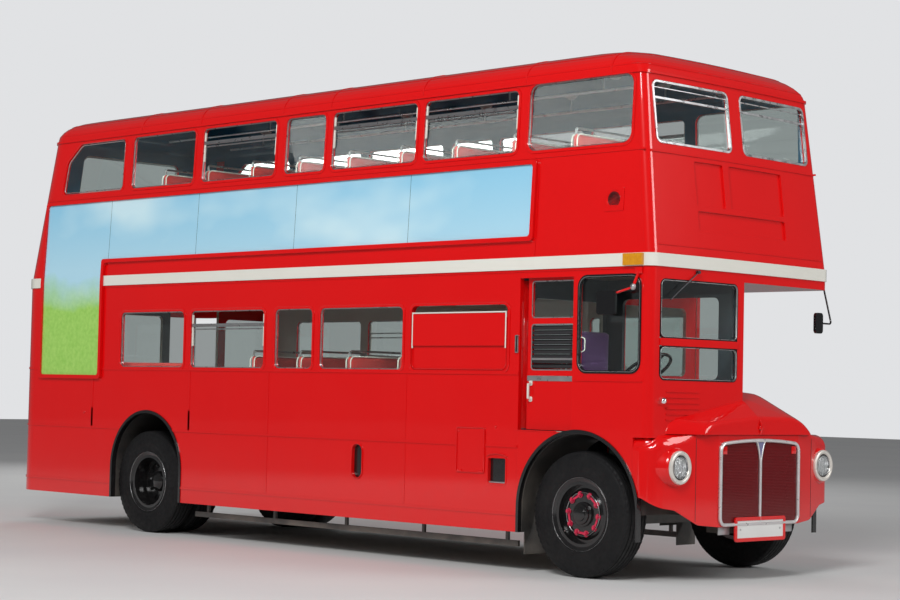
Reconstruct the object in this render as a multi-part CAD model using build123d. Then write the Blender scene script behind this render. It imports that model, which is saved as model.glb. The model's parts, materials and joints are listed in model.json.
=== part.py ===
from build123d import *
import math
import os

os.makedirs("parts", exist_ok=True)

# Millimetres. X is forward, Y is to the nearside (left), Z is up from the road.
# The bus is drawn with X zero at the front axle and saved with X zero at mid length.

# Overall sizes
WHEELBASE = 5842
FRONT_OVERHANG = 960
REAR_OVERHANG = 2318
WIDTH = 2438
HEIGHT = 4382
HALF = WIDTH / 2
REAR_FACE = -(WHEELBASE + REAR_OVERHANG)
MID_LENGTH = (FRONT_OVERHANG + REAR_FACE) / 2

# Body shell
WALL = 45
SKIRT_Z = 335
DECK_Z = 2578
ROOF_H = 262
GUTTER_Z = HEIGHT - ROOF_H
FRONT_FACE = 790
FRONT_RAKE = 190
REAR_RAKE = 300
TUMBLE_IN = 79
BOW = 30
FRONT_CORNER = 75
REAR_CORNER = 310
FRONT_SEAM = 690
REAR_SEAM = REAR_FACE + REAR_CORNER

# Floors
FLOOR_Z = 700
FLOOR_T = 40
UPPER_FLOOR_Z = DECK_Z - 18
UPPER_FLOOR_T = 60
PLATFORM_Z = 440
PLATFORM_T = 40
CAB_FLOOR_Z = 1185
CAB_FLOOR_T = 8
CANOPY_Z = DECK_Z - 128

# Bulkheads, by the X of their front faces
FRONT_BULKHEAD = -660
REAR_BULKHEAD = -(WHEELBASE + 778)
BULKHEAD_T = 40

# Windows
SILL = 1680
HEAD = DECK_Z - 338
UPPER_SILL = GUTTER_Z - 590
UPPER_HEAD = GUTTER_Z - 55
WINDOW_R = 55
GLASS_IN = 20
GLASS_T = 6
DROP = 135
BAR = 24

# Wheel arches in the side panels
FRONT_ARCH_X = 15
FRONT_ARCH_Z = 545
FRONT_ARCH_R = 660
REAR_ARCH_X = 39 - WHEELBASE
REAR_ARCH_Z = 650
REAR_ARCH_R = 592
LIP = 28
LIP_PROUD = 10
LINER_T = 8
LINER_GAP = 0.3
LINER_LAP = 12

# Cab
CAB_INNER_Y = -40
DOORWAY_REAR = -650
DOORWAY_FRONT = -55
DOORWAY_TOP = DECK_Z - 123
DOOR_REAR = -600
DOOR_FRONT = -25
DOOR_Z = 1192
DOOR_TOP = DECK_Z - 116
DOOR_T = 30
DOOR_GAP = 6
TONGUE_T = 10
TONGUE_H = 22
SLIDE_FIT = 0.3
TRACK_END = 520

# Wheels and axles
TYRE_R = 517
TYRE_W = 259
RIM_R = 254
TRACK_Y = HALF - 189
TWIN_STEP = 295
KINGPIN_Y = TRACK_Y - 130
KINGPIN_R = 18
STUB_R = 32
REAR_STUB_R = 42
RUN_FIT = 0.05

# Nose
NOSE_BACK = 600
NOSE_FACE = 940
NOSE_TOP = 1190
NOSE_LIP = FRONT_OVERHANG
WING_SEAM = HALF - 429
PANEL_T = 30
BONNET_SEAM = -37
BONNET_TOP = 1555
LIP_TOP = 1335
LID_GAP = 6
HINGE_Y = -28
HINGE_R = 8
HINGE_PIN_R = 4
WING_TOP = 1235
WING_T = 14
WING_FALL = 330
WING_INNER = 700

# Trim
BAND_Z = DECK_Z - 53
BAND_H = 105
BAND_PROUD = 12
BEAD_H = 22
BEAD_PROUD = 7

FAR = 20000


def save(name, *shapes):
    """Write one node, with X zero moved from the front axle to mid length."""
    place = Location((-MID_LENGTH, 0, 0))
    solids = [s.moved(place) for shape in shapes for s in shape.solids()]
    export_step(solids[0] if len(solids) == 1 else Compound(children=solids), f"parts/{name}.step")


def block(x0, x1, y0, y1, z0, z1):
    """A box from its six sides."""
    return Pos((x0 + x1) / 2, (y0 + y1) / 2, (z0 + z1) / 2) * Box(x1 - x0, y1 - y0, z1 - z0)


def both(shape):
    """A shape and its mirror image on the other side."""
    return [shape, mirror(shape, Plane.XZ)]


def rod(x, y, z, r, length, way="Y"):
    """A round bar centred on a point."""
    turn = {"X": Rot(0, 90, 0), "Y": Rot(90, 0, 0), "Z": Rot(0, 0, 0)}[way]
    return Pos(x, y, z) * turn * Cylinder(r, length)


def side_prism(points, y0, y1, radius=0):
    """A polygon in X and Z, with its corners rounded, run from y0 to y1."""
    face = make_face(Polyline(*points, close=True))
    if radius:
        face = fillet(face.vertices(), radius)
    return Pos(0, y1, 0) * extrude(Plane.XZ * face, y1 - y0)


def front_prism(points, x0, x1, radius=0):
    """A polygon in Y and Z, with its corners rounded, run from x0 to x1."""
    face = make_face(Polyline(*points, close=True))
    if radius:
        face = fillet(face.vertices(), radius)
    return Pos(x0, 0, 0) * extrude(Plane.YZ * face, x1 - x0)


def side_window(x0, x1, z0, z1, y0, y1, radius=WINDOW_R):
    return side_prism([(x0, z0), (x1, z0), (x1, z1), (x0, z1)], y0, y1, radius)


def front_window(ya, yb, z0, z1, x0, x1, radius=WINDOW_R):
    return front_prism([(ya, z0), (yb, z0), (yb, z1), (ya, z1)], x0, x1, radius)


def arch(x, z, r, y0, y1, low=0):
    """The room of a wheel arch: a round top on straight legs."""
    top = Pos(x, (y0 + y1) / 2, z) * Rot(90, 0, 0) * Cylinder(r, y1 - y0)
    return (top & block(x - r, x + r, y0, y1, z, z + r)) + block(x - r, x + r, y0, y1, low, z)


# Outer form of the body, at any depth inside its skin


def outline(front, rear, half, rf, rr, z):
    """A plan of the body: bowed front, straight sides and four round corners."""
    k = math.sqrt(0.5)
    fx = front - BOW
    edges = [
        ThreePointArc((fx, rf - half, z), (front, 0, z), (fx, half - rf, z)),
        ThreePointArc(
            (fx, half - rf, z), (fx - rf + rf * k, half - rf + rf * k, z), (fx - rf, half, z)
        ),
        Line((fx - rf, half, z), (rear + rr, half, z)),
        ThreePointArc(
            (rear + rr, half, z), (rear + rr - rr * k, half - rr + rr * k, z), (rear, half - rr, z)
        ),
        Line((rear, half - rr, z), (rear, rr - half, z)),
        ThreePointArc(
            (rear, rr - half, z), (rear + rr - rr * k, rr - half - rr * k, z), (rear + rr, -half, z)
        ),
        Line((rear + rr, -half, z), (fx - rf, -half, z)),
        ThreePointArc(
            (fx - rf, -half, z), (fx - rf + rf * k, rf - half - rf * k, z), (fx, rf - half, z)
        ),
    ]
    return Face(Wire(edges))


def level(z):
    """Front, rear, half width and rear corner of the skin at a height."""
    up = max(0, (z - DECK_Z) / (GUTTER_Z - DECK_Z))
    return FRONT_FACE - FRONT_RAKE * up, REAR_FACE + REAR_RAKE * up, HALF - TUMBLE_IN * up, REAR_CORNER


def section(z, inset):
    front, rear, half, rr = level(z)
    return outline(front - inset, rear + inset, half - inset, FRONT_CORNER - inset, rr - inset, z)


def lower_form(inset, z0=SKIRT_Z, z1=DECK_Z):
    return Pos(0, 0, z0 - DECK_Z) * extrude(section(DECK_Z, inset), z1 - z0)


def upper_form(inset, z0=DECK_Z, z1=GUTTER_Z):
    return loft([section(z0, inset), section(z1, inset)], ruled=True)


# Roof rows, in hundredths: rise as a part of the roof's height, how far the sides have come in
# as a part of the half width, and the corner radius as a part of that. The ends come in ROOF_END times more.
ROOF_ROWS = [
    (0, 0, 6.6),
    (13.7, 0.35, 8.8),
    (27.5, 1.3, 11.8),
    (40.5, 3.0, 14.9),
    (52.7, 5.35, 18.4),
    (64.1, 8.8, 22.8),
    (74.0, 13.7, 27.2),
    (82.4, 21.1, 31.6),
    (90.1, 32.5, 35.1),
    (95.4, 45.6, 35.1),
    (98.9, 59.6, 33.3),
]
ROOF_END = 1.3


def roof_form(inset):
    front, rear, half, rr = level(GUTTER_Z)
    rows = []
    for rise, side, corner in ROOF_ROWS:
        side_in = half * side / 100
        end_in = side_in * ROOF_END
        rf = half * corner / 100
        lift = (ROOF_H - inset) * rise / 100
        rows.append(outline(front - inset - end_in, rear + inset + end_in, half - inset - side_in,
                            rf - inset, max(rf, rr) - inset, GUTTER_Z + lift))
    return loft(rows, ruled=True)


lower_skin = lower_form(0) - lower_form(WALL)
upper_skin = upper_form(0) - upper_form(WALL)
lower_room = lower_form(WALL)

# Side windows: rear end and front end, in hundredths of the wheelbase behind the front axle, and kind
LOWER_SPANS = [
    (107.5, 89.44, "fixed"),
    (87.47, 68.13, "drop"),
    (65.39, 56.23, "fixed"),
    (54.35, 35.35, "fixed"),
    (33.46, 13.44, "sign"),
]
UPPER_SPANS = [
    (106.98, 89.18, "fixed"),
    (86.96, 67.61, "drop"),
    (65.22, 55.46, "fixed"),
    (53.75, 34.41, "drop"),
    (32.78, 13.27, "drop"),
    (11.13, -8.35, "front"),
]
BAY = WHEELBASE / 100
LOWER_WINDOWS = [(-a * BAY, -b * BAY, kind) for a, b, kind in LOWER_SPANS]
UPPER_WINDOWS = [(-a * BAY, -b * BAY, kind) for a, b, kind in UPPER_SPANS]
# The quarter window behind the rear axle
UPPER_WINDOWS.insert(0, (REAR_SEAM + 360, REAR_SEAM + 1450, "quarter"))


def upper_window(x0, x1, kind, y0, y1):
    if kind == "quarter":
        points = [(x0, UPPER_SILL), (x1, UPPER_SILL), (x1, UPPER_HEAD),
                  (x0 + 300, UPPER_HEAD), (x0 + 60, UPPER_HEAD - 190)]
        return side_prism(points, y0, y1, WINDOW_R)
    if kind == "front":
        return side_window(x0, x1, UPPER_SILL, UPPER_HEAD + 30, y0, y1, 85)
    return side_window(x0, x1, UPPER_SILL, UPPER_HEAD, y0, y1)


def pane(form, opening, inset=GLASS_IN):
    return (form(inset) - form(inset + GLASS_T)) & opening


OUT_Y = HALF + 100
IN_Y = HALF - 250

lower_holes = [side_window(a, b, SILL, HEAD, -OUT_Y, -IN_Y) for a, b, kind in LOWER_WINDOWS]
upper_holes = [upper_window(a, b, kind, -OUT_Y, -IN_Y) for a, b, kind in UPPER_WINDOWS]

# Lower sides, from the rear corner to the front bulkhead
arch_room = [
    arch(FRONT_ARCH_X, FRONT_ARCH_Z, FRONT_ARCH_R, -OUT_Y, -IN_Y),
    arch(REAR_ARCH_X, REAR_ARCH_Z, REAR_ARCH_R, -OUT_Y, -IN_Y),
]
side_zone = block(REAR_SEAM, DOORWAY_REAR, -FAR, -IN_Y, SKIRT_Z, DECK_Z)
side_panel = (lower_skin & side_zone) - lower_holes - arch_room
saloon_zone = block(REAR_BULKHEAD - BULKHEAD_T, FAR, -FAR, FAR, 0, FAR)
# Pockets in the offside panel: rear end, front end, lower edge, upper edge, corner radius
POCKETS = [
    (-980, -780, 730, 940, 20),
    (-2690, -2560, 700, 1000, 60),
]
POCKET_DEEP = 32
pockets = [side_window(a, b, c, d, -OUT_Y, POCKET_DEEP - HALF, r) for a, b, c, d, r in POCKETS]
save("lower_sides", side_panel - pockets, mirror(side_panel & saloon_zone, Plane.XZ))

# Upper sides and ends meet on raked seams
SEAM_TOP_FRONT = FRONT_SEAM - FRONT_RAKE
SEAM_TOP_REAR = REAR_SEAM + REAR_RAKE
side_seams = side_prism(
    [(REAR_SEAM, DECK_Z), (FRONT_SEAM, DECK_Z), (SEAM_TOP_FRONT, GUTTER_Z), (SEAM_TOP_REAR, GUTTER_Z)],
    -FAR, FAR,
)
upper_sides = upper_skin & side_seams
upper_off = (upper_sides & block(-FAR, FAR, -FAR, 0, 0, FAR)) - upper_holes
save("upper_sides", *both(upper_off))

# Upper front with two windows and the bare destination boxes
FRONT_WINDOW = (75, HALF - 174)
FRONT_HEAD = GUTTER_Z - 70
BOX_DEEP = 18
upper_ends = upper_skin - side_seams
front_holes = both(front_window(*FRONT_WINDOW, UPPER_SILL, FRONT_HEAD, 300, 900, 60))
# Destination boxes: both ends in Y, and both edges in hundredths of the way from the deck to the sill
SIGN_ROOM = (UPPER_SILL - DECK_Z) / 100
SIGN_SPANS = [(-600, -225, 49.6, 87.9), (-150, 600, 49.6, 87.9), (-600, 600, 28.0, 44.9)]
SIGN_BOXES = [(a, b, DECK_Z + c * SIGN_ROOM, DECK_Z + d * SIGN_ROOM) for a, b, c, d in SIGN_SPANS]
box_depth = upper_form(-1) - upper_form(BOX_DEEP)
box_cuts = [box_depth & front_window(a, b, c, d, 400, 1000, 20) for a, b, c, d in SIGN_BOXES]
upper_front = (upper_ends & block(0, FAR, -FAR, FAR, 0, FAR)) - front_holes - box_cuts
save("upper_front", upper_front)

# Upper rear with the emergency window
REAR_WINDOW = (-660, 660, GUTTER_Z - 690, GUTTER_Z - 80)
rear_hole = front_window(*REAR_WINDOW, REAR_FACE - 100, REAR_FACE + 700, 80)
save("upper_rear", (upper_ends & block(-FAR, 0, -FAR, FAR, 0, FAR)) - rear_hole)

# Roof
save("roof", roof_form(0) - roof_form(WALL))

# Lower rear: closed round the stairs, open at the platform
PLATFORM_OPEN_TOP = DECK_Z - 278
PLATFORM_POST_Y = 60
PLATFORM_FRONT = REAR_BULKHEAD - BULKHEAD_T
open_zone = block(-FAR, PLATFORM_FRONT, PLATFORM_POST_Y, FAR, PLATFORM_Z - PLATFORM_T, PLATFORM_OPEN_TOP)
rear_zone = block(-FAR, REAR_SEAM, -FAR, FAR, 0, FAR) + block(-FAR, PLATFORM_FRONT, 0, FAR, 0, FAR)
stair_window = front_window(289 - HALF, -250, 1500, DECK_Z - 428, REAR_FACE - 100, REAR_FACE + 200, 60)
save("lower_rear", (lower_skin & rear_zone) - open_zone - stair_window)

# Platform
platform_slab = block(-FAR, PLATFORM_FRONT, -FAR, FAR, PLATFORM_Z - PLATFORM_T, PLATFORM_Z)
platform_inner = lower_room & platform_slab
platform_edge = (lower_skin & platform_slab) & open_zone
save("platform", platform_inner + platform_edge)

# Lower floor, cut round the rear wheel boxes
WHEEL_BOX_Y = TRACK_Y - 460
floor_zone = block(PLATFORM_FRONT, FRONT_BULKHEAD, -FAR, FAR, FLOOR_Z - FLOOR_T, FLOOR_Z)
liner_r = REAR_ARCH_R - LIP
box_cut = both(arch(REAR_ARCH_X, REAR_ARCH_Z, liner_r + LINER_T, -HALF, -WHEEL_BOX_Y))
save("lower_floor", (lower_room & floor_zone) - box_cut)

# Rear wheel boxes stand in the saloon over the twin tyres
box_outer = arch(REAR_ARCH_X, REAR_ARCH_Z, liner_r + LINER_T, -(HALF - WALL), -WHEEL_BOX_Y, SKIRT_Z)
box_inner = arch(REAR_ARCH_X, REAR_ARCH_Z, liner_r, -HALF, -WHEEL_BOX_Y - LINER_T, 0)
under_floor = block(-FAR, FAR, -FAR, FAR, 0, FLOOR_Z - FLOOR_T)
box_inner += arch(REAR_ARCH_X, REAR_ARCH_Z, liner_r, -HALF, 0, 0) & under_floor
rear_boxes = both(box_outer - box_inner)

# Upper floor with the stairwell
STAIRWELL = (REAR_FACE + 100, REAR_FACE + 1260, -(HALF - WALL) - 5, -360)
upper_floor = lower_room & block(-FAR, FAR, -FAR, FAR, UPPER_FLOOR_Z - UPPER_FLOOR_T, UPPER_FLOOR_Z)
well = block(*STAIRWELL, 0, FAR)
save("upper_floor", upper_floor - well)

# Bulkheads between the side walls
INNER = HALF - WALL
CEILING_Z = UPPER_FLOOR_Z - UPPER_FLOOR_T
front_wall = block(FRONT_BULKHEAD - BULKHEAD_T, FRONT_BULKHEAD, -INNER, INNER, FLOOR_Z, CEILING_Z)
# Windows in the front and rear bulkheads: inner end, outer end, lower edge, upper edge
WALL_PANES = [(140, INNER - 144, SILL, DECK_Z - 278), (430, INNER - 94, SILL, HEAD)]
front_wall -= both(front_window(*WALL_PANES[0], -FAR, FAR))
rear_wall = block(PLATFORM_FRONT, REAR_BULKHEAD, -INNER, INNER, PLATFORM_Z, CEILING_Z)
rear_wall -= block(-FAR, FAR, -330, 330, FLOOR_Z, DECK_Z - 128)
rear_wall -= both(front_window(*WALL_PANES[1], -FAR, FAR))
rear_wall -= block(-FAR, FAR, -INNER, INNER, FLOOR_Z - FLOOR_T, FLOOR_Z)
save("bulkheads", front_wall, rear_wall)

# Stairs: eight treads, four across the rear and four forward along the offside
TREADS = 8
TREAD_T = 35
RISE = (UPPER_FLOOR_Z - PLATFORM_Z) / (TREADS + 1)
TURN_X = REAR_FACE + 680
stairs = []
for i in range(TREADS):
    z = PLATFORM_Z + RISE * (i + 1)
    if i < 4:
        y1 = -30 - 200 * i
        step = block(REAR_FACE, TURN_X, y1 - 240, y1, z - TREAD_T, z)
    else:
        x0 = REAR_FACE + 250 * (i - 3)
        step = block(x0, x0 + 300, -HALF, -790, z - TREAD_T, z)
    stairs.append(step & lower_room)
stringer = block(TURN_X, TURN_X + 25, -INNER, -30, PLATFORM_Z, PLATFORM_Z + 5 * RISE)
save("staircase", *[s - stringer for s in stairs], stringer)

# Cab: side, front and inner wall round the driver
cab_zone = block(DOORWAY_REAR, FAR, -FAR, CAB_INNER_Y, 0, DECK_Z)
cab_skin = lower_skin & cab_zone
doorway = block(DOORWAY_REAR, DOORWAY_FRONT, -OUT_Y, -IN_Y, DOOR_Z - 10, DOORWAY_TOP)
CAB_WINDOW = (0, 660, 1670, DECK_Z - 118)
SCREEN = (114 - HALF, -125, 1620, DECK_Z - 148)
cab_skin -= side_window(*CAB_WINDOW, -OUT_Y, -IN_Y, 95)
cab_skin -= front_window(*SCREEN, 600, 900, 60)
cab_skin -= doorway
cab_skin -= arch_room
cab_skin -= block(NOSE_BACK, FAR, -FAR, FAR, 0, NOSE_TOP - PANEL_T)
cab_wall_y = (CAB_INNER_Y - WALL, CAB_INNER_Y)
cab_wall = block(FRONT_BULKHEAD, FRONT_FACE - WALL, *cab_wall_y, CAB_FLOOR_Z, CEILING_Z)
CAB_PANE = (-480, 560, 1640, DECK_Z - 248)
cab_wall -= side_window(*CAB_PANE, -200, 100)
cab_wall -= lower_skin
# Bonnet hinges on that wall: X of each, half length of its middle knuckle, length of a side knuckle
HINGES = [-450, 40, 560]
HINGE_HALF = 20
HINGE_SIDE = 25
HINGE_Z = BONNET_TOP + HINGE_R / 2
for x in HINGES:
    leaf_z = (HINGE_Z - HINGE_R / 2, HINGE_Z + HINGE_R / 2)
    cab_wall += block(x - HINGE_HALF, x + HINGE_HALF, CAB_INNER_Y, HINGE_Y, *leaf_z)
    cab_wall += rod(x, HINGE_Y, HINGE_Z, HINGE_R, 2 * HINGE_HALF, "X")
    cab_wall += rod(x, HINGE_Y, HINGE_Z, HINGE_PIN_R, 2 * (HINGE_HALF + HINGE_SIDE), "X")
# Canopy over the bonnet: its edge carries the cab front on round the nearside
canopy_zone = block(DOORWAY_REAR, FAR, CAB_INNER_Y, FAR, CANOPY_Z, DECK_Z)
canopy_soffit = lower_room & block(FRONT_BULKHEAD, FAR, CAB_INNER_Y, FAR, CANOPY_Z, CANOPY_Z + 20)
save("cab_shell", cab_skin + cab_wall + (lower_skin & canopy_zone) + canopy_soffit)

# Cab door, which slides forward inside the cab side
door_y = -(INNER - DOOR_GAP)
door = block(DOOR_REAR, DOOR_FRONT, door_y, door_y + DOOR_T, DOOR_Z, DOOR_TOP)
DOOR_WINDOW = (DOOR_REAR + 45, DOOR_FRONT - 60)
DOOR_PANES = [(1690, DECK_Z - 508), (DECK_Z - 452, DECK_Z - 148)]
DOOR_PANE_R = 25
for z0, z1 in DOOR_PANES:
    door -= side_window(*DOOR_WINDOW, z0, z1, -FAR, FAR, DOOR_PANE_R)
HANDLE_X = DOOR_REAR + 45
handle = rod(HANDLE_X, door_y - 34, 1512, 9, 150, "Z")
for z in (1445, 1579):
    handle += rod(HANDLE_X, door_y - 17, z, 9, 34)
door_glass = block(*DOOR_WINDOW, door_y + 12, door_y + 18, DOOR_PANES[1][0], DOOR_PANES[1][1])
# Slats of the lower pane
SLATS = 9
SLAT_H = 22
slat_step = (DOOR_PANES[0][1] - DOOR_PANES[0][0] - 20) / SLATS
for i in range(SLATS):
    z = DOOR_PANES[0][0] + 20 + slat_step * i
    door += block(*DOOR_WINDOW, door_y + 8, door_y + 22, z, z + SLAT_H)
# A tongue along the top of the door hangs in the slot of its track
mid_y = door_y + DOOR_T / 2
tongue_y = (mid_y - TONGUE_T / 2, mid_y + TONGUE_T / 2)
tongue = block(DOOR_REAR + 40, DOOR_FRONT - 40, *tongue_y, DOOR_TOP, DOOR_TOP + TONGUE_H)
save("cab_door", door + handle + tongue)
save("door_glass", door_glass & side_window(*DOOR_WINDOW, *DOOR_PANES[1], -FAR, FAR, DOOR_PANE_R))
slot_half = TONGUE_T / 2 + SLIDE_FIT
top_track = block(FRONT_BULKHEAD, TRACK_END, -INNER, door_y + DOOR_T + 4, DOOR_TOP + DOOR_GAP, CEILING_Z)
top_track -= block(-FAR, FAR, mid_y - slot_half, mid_y + slot_half, 0, DOOR_TOP + TONGUE_H + DOOR_GAP)
save("door_track", top_track)

# Glazing, one node for each zone, set in the wall's thickness
lower_glass = []
lower_near_glass = []
for (a, b, kind), hole in zip(LOWER_WINDOWS, lower_holes):
    sheet = pane(lower_form, hole)
    lower_near_glass.append(mirror(sheet, Plane.XZ))
    if kind == "drop":
        sheet -= block(a, b, -FAR, FAR, HEAD - DROP, FAR)
    if kind != "sign":
        lower_glass.append(sheet)
upper_glass = []
for (a, b, kind), hole in zip(UPPER_WINDOWS, upper_holes):
    sheet = pane(upper_form, hole)
    if kind == "drop":
        sheet -= block(a, b, -FAR, FAR, UPPER_HEAD - DROP, FAR)
    upper_glass.append(sheet)
front_glass = [pane(upper_form, hole & block(0, FAR, -FAR, FAR, 0, FAR)) for hole in front_holes]
rear_glass = pane(upper_form, rear_hole)
stair_glass = pane(lower_form, stair_window)
upper_near_glass = [mirror(s, Plane.XZ) for s in upper_glass]
side_glass = lower_glass + lower_near_glass + upper_glass + upper_near_glass
wall_glass = []
for x, (a, b, z0, z1) in ((FRONT_BULKHEAD, WALL_PANES[0]), (REAR_BULKHEAD, WALL_PANES[1])):
    mid_x = x - BULKHEAD_T / 2
    wall_glass += both(front_window(a, b, z0, z1, mid_x - GLASS_T / 2, mid_x + GLASS_T / 2))
save("saloon_glass", *side_glass, *front_glass, rear_glass, stair_glass, *wall_glass)
screen_glass = pane(lower_form, front_window(*SCREEN, 600, 900, 60))
cab_glass = pane(lower_form, side_window(*CAB_WINDOW, -OUT_Y, -IN_Y, 95))
pane_y = CAB_INNER_Y - WALL / 2
inner_glass = side_window(*CAB_PANE, pane_y - GLASS_T / 2, pane_y + GLASS_T / 2)
save("cab_glass", screen_glass, cab_glass, inner_glass)

# Window bars of the opening windows, in front of their glass
bars = []
for (a, b, kind), hole in zip(UPPER_WINDOWS, upper_holes):
    if kind == "drop":
        rail = block(a, b, -FAR, FAR, UPPER_HEAD - DROP - BAR, UPPER_HEAD - DROP)
        bars.append((upper_form(4) - upper_form(GLASS_IN)) & hole & rail)
lower_bars = []
for (a, b, kind), hole in zip(LOWER_WINDOWS, lower_holes):
    if kind == "drop":
        rail = block(a, b, -FAR, FAR, HEAD - DROP - BAR, HEAD - DROP)
        lower_bars.append((lower_form(4) - lower_form(GLASS_IN)) & hole & rail)
    if kind == "sign":
        rail = block(a, b, -FAR, FAR, SILL, HEAD - 60)
        sign = (lower_form(8) - lower_form(30)) & hole & rail
save("window_bars", *bars, *[mirror(s, Plane.XZ) for s in bars], *lower_bars)

# Nose: wings and front panel, below the bonnet
NOSE_LOW = 400
NOSE_CORNER = 170
GRILLE_HALF = 545
CROWN_R = 130


def nose_form(inset, z0=NOSE_LOW, z1=NOSE_TOP):
    half = HALF - inset
    face = NOSE_FACE - inset
    points = [
        (NOSE_BACK, -half), (face - 145, -half), (face - 40, -WING_SEAM), (face, -GRILLE_HALF),
        (face, GRILLE_HALF), (face - 40, WING_SEAM), (face - 145, half), (NOSE_BACK, half),
    ]
    plan = make_face(Polyline(*points, close=True))
    corners = [v for v in plan.vertices() if abs(abs(v.Y) - half) < 1 and v.X > NOSE_BACK + 1]
    plan = fillet(corners, NOSE_CORNER - inset)
    form = Pos(0, 0, z0) * extrude(plan, z1 - z0)
    crown = make_face(Polyline((-half, 0), (half, 0), (half, z1), (-half, z1), close=True))
    crown = fillet(crown.vertices().group_by(Axis.Y)[-1], CROWN_R - inset)
    return form & extrude(Plane.YZ * crown, FAR)


wing_low = side_prism(
    [(NOSE_BACK - 1, 0), (NOSE_BACK - 1, 705), (700, 680), (850, 590), (905, 470), (960, 440), (960, 0)],
    -FAR, FAR,
)
nose_shell = nose_form(0) - nose_form(PANEL_T, 0, NOSE_TOP - PANEL_T)
nose_shell -= arch(FRONT_ARCH_X, FRONT_ARCH_Z, FRONT_ARCH_R, -FAR, FAR)
nose_shell -= wing_low
nose_shell -= lower_form(0, NOSE_TOP - PANEL_T, NOSE_TOP) & block(-FAR, FAR, -FAR, CAB_INNER_Y, 0, FAR)
GRILLE_Z0 = 455
GRILLE_SIDE_Z = 1130
GRILLE_Z1 = 1160
GRILLE_R = 70
GRILLE_T = 12
GRILLE_TUBE = 24
MESH_T = 10


def grille_plate(inset, x0, x1):
    """The grille's outline, its top edge bowed up, run from x0 to x1."""
    half = GRILLE_HALF - inset
    z0 = GRILLE_Z0 + inset
    z1 = GRILLE_SIDE_Z - inset
    edges = [
        Line((-half, z0), (half, z0)),
        Line((half, z0), (half, z1)),
        ThreePointArc((half, z1), (0, GRILLE_Z1 - inset), (-half, z1)),
        Line((-half, z1), (-half, z0)),
    ]
    face = Face(Wire(edges))
    face = fillet(face.vertices(), GRILLE_R - inset)
    return Pos(x0, 0, 0) * extrude(Plane.YZ * face, x1 - x0)


centre_zone = block(0, FAR, -WING_SEAM, WING_SEAM, 0, FAR)
front_panel = (nose_shell & centre_zone) - grille_plate(GRILLE_TUBE / 2, 0, FAR)
save("front_panel", front_panel)
LAMP_X = 760
LAMP_Y = HALF - 239
LAMP_Z = 930
LAMP_R = 132
lamp_holes = both(rod(LAMP_X, -LAMP_Y, LAMP_Z, LAMP_R, 400, "X"))
off_wing = (nose_shell & block(0, FAR, -FAR, -WING_SEAM, 0, FAR)) - lamp_holes
near_wing = (nose_shell & block(0, FAR, WING_SEAM, FAR, 0, FAR)) - lamp_holes
# The nearside wing runs on back to the bulkhead, under the edge of the bonnet
wing_top = side_prism(
    [(DOORWAY_REAR, WING_TOP - WING_T), (WING_FALL, WING_TOP - WING_T), (NOSE_BACK, NOSE_TOP - WING_T),
     (NOSE_BACK, NOSE_TOP), (WING_FALL, WING_TOP), (DOORWAY_REAR, WING_TOP)], WING_INNER, HALF,
)
wing_side = side_prism(
    [(DOORWAY_REAR, SKIRT_Z), (NOSE_BACK, SKIRT_Z), (NOSE_BACK, NOSE_TOP - WING_T),
     (WING_FALL, WING_TOP - WING_T), (DOORWAY_REAR, WING_TOP - WING_T)], INNER, HALF,
)
near_rear = (wing_top + wing_side) - arch(FRONT_ARCH_X, FRONT_ARCH_Z, FRONT_ARCH_R, INNER, OUT_Y)
save("wings", off_wing, near_wing + near_rear)

# Grille: silver frame, centre bar and red mesh
frame = grille_plate(0, NOSE_FACE, NOSE_FACE + GRILLE_T) - grille_plate(GRILLE_TUBE, 0, FAR)
# The centre bar widens at its top into a V with hollow sides
BAR_HALF = 12
V_HALF = 62
V_LOW = 985
V_TOP = GRILLE_Z1 - GRILLE_TUBE
V_MID = (BAR_HALF + 0.3 * (V_HALF - BAR_HALF), (V_LOW + V_TOP) / 2)
bar_edges = [
    Line((-BAR_HALF, GRILLE_Z0 + BAR_HALF), (BAR_HALF, GRILLE_Z0 + BAR_HALF)),
    Line((BAR_HALF, GRILLE_Z0 + BAR_HALF), (BAR_HALF, V_LOW)),
    ThreePointArc((BAR_HALF, V_LOW), V_MID, (V_HALF, V_TOP)),
    Line((V_HALF, V_TOP), (-V_HALF, V_TOP)),
    ThreePointArc((-V_HALF, V_TOP), (-V_MID[0], V_MID[1]), (-BAR_HALF, V_LOW)),
    Line((-BAR_HALF, V_LOW), (-BAR_HALF, GRILLE_Z0 + BAR_HALF)),
]
frame += Pos(NOSE_FACE, 0, 0) * extrude(Plane.YZ * Face(Wire(bar_edges)), GRILLE_T)
save("grille_frame", frame)
save("grille_mesh", grille_plate(GRILLE_TUBE / 2, NOSE_FACE - MESH_T, NOSE_FACE))

# Headlamps: a deep shell with a wide rim, and a domed lens on its seat
LENS_R = 88
LENS_X = 880
# X and radius round the half section
LAMP_SECTION = [
    (770, 0), (770, 70), (795, LAMP_R), (886, LAMP_R), (900, LAMP_R - 10), (900, LAMP_R - 30),
    (LENS_X, LENS_R + 4), (LENS_X, LENS_R - 6), (820, 40), (815, 0),
]
LENS_SECTION = [(LENS_X, 0), (LENS_X, LENS_R), (888, LENS_R), (900, 62), (907, 32), (910, 0)]
lamps = []
lenses = []
for y in (-LAMP_Y, LAMP_Y):
    for section_points, found in ((LAMP_SECTION, lamps), (LENS_SECTION, lenses)):
        half_section = make_face(Polyline(*section_points, close=True))
        found.append(Pos(0, y, LAMP_Z) * revolve(half_section, Axis.X))
SIDE_LAMP = (770, 144 - HALF, 1455)
SIDE_LAMP_R = 24
lamps.append(rod(*SIDE_LAMP, SIDE_LAMP_R, 40, "X") - lower_form(0))
save("lamps", *lamps)
save("lamp_glass", *lenses)
INDICATOR = (490, 690, BAND_Z + 5, BAND_Z + 100)
INDICATOR_T = 24
x0, x1, z0, z1 = INDICATOR
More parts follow.
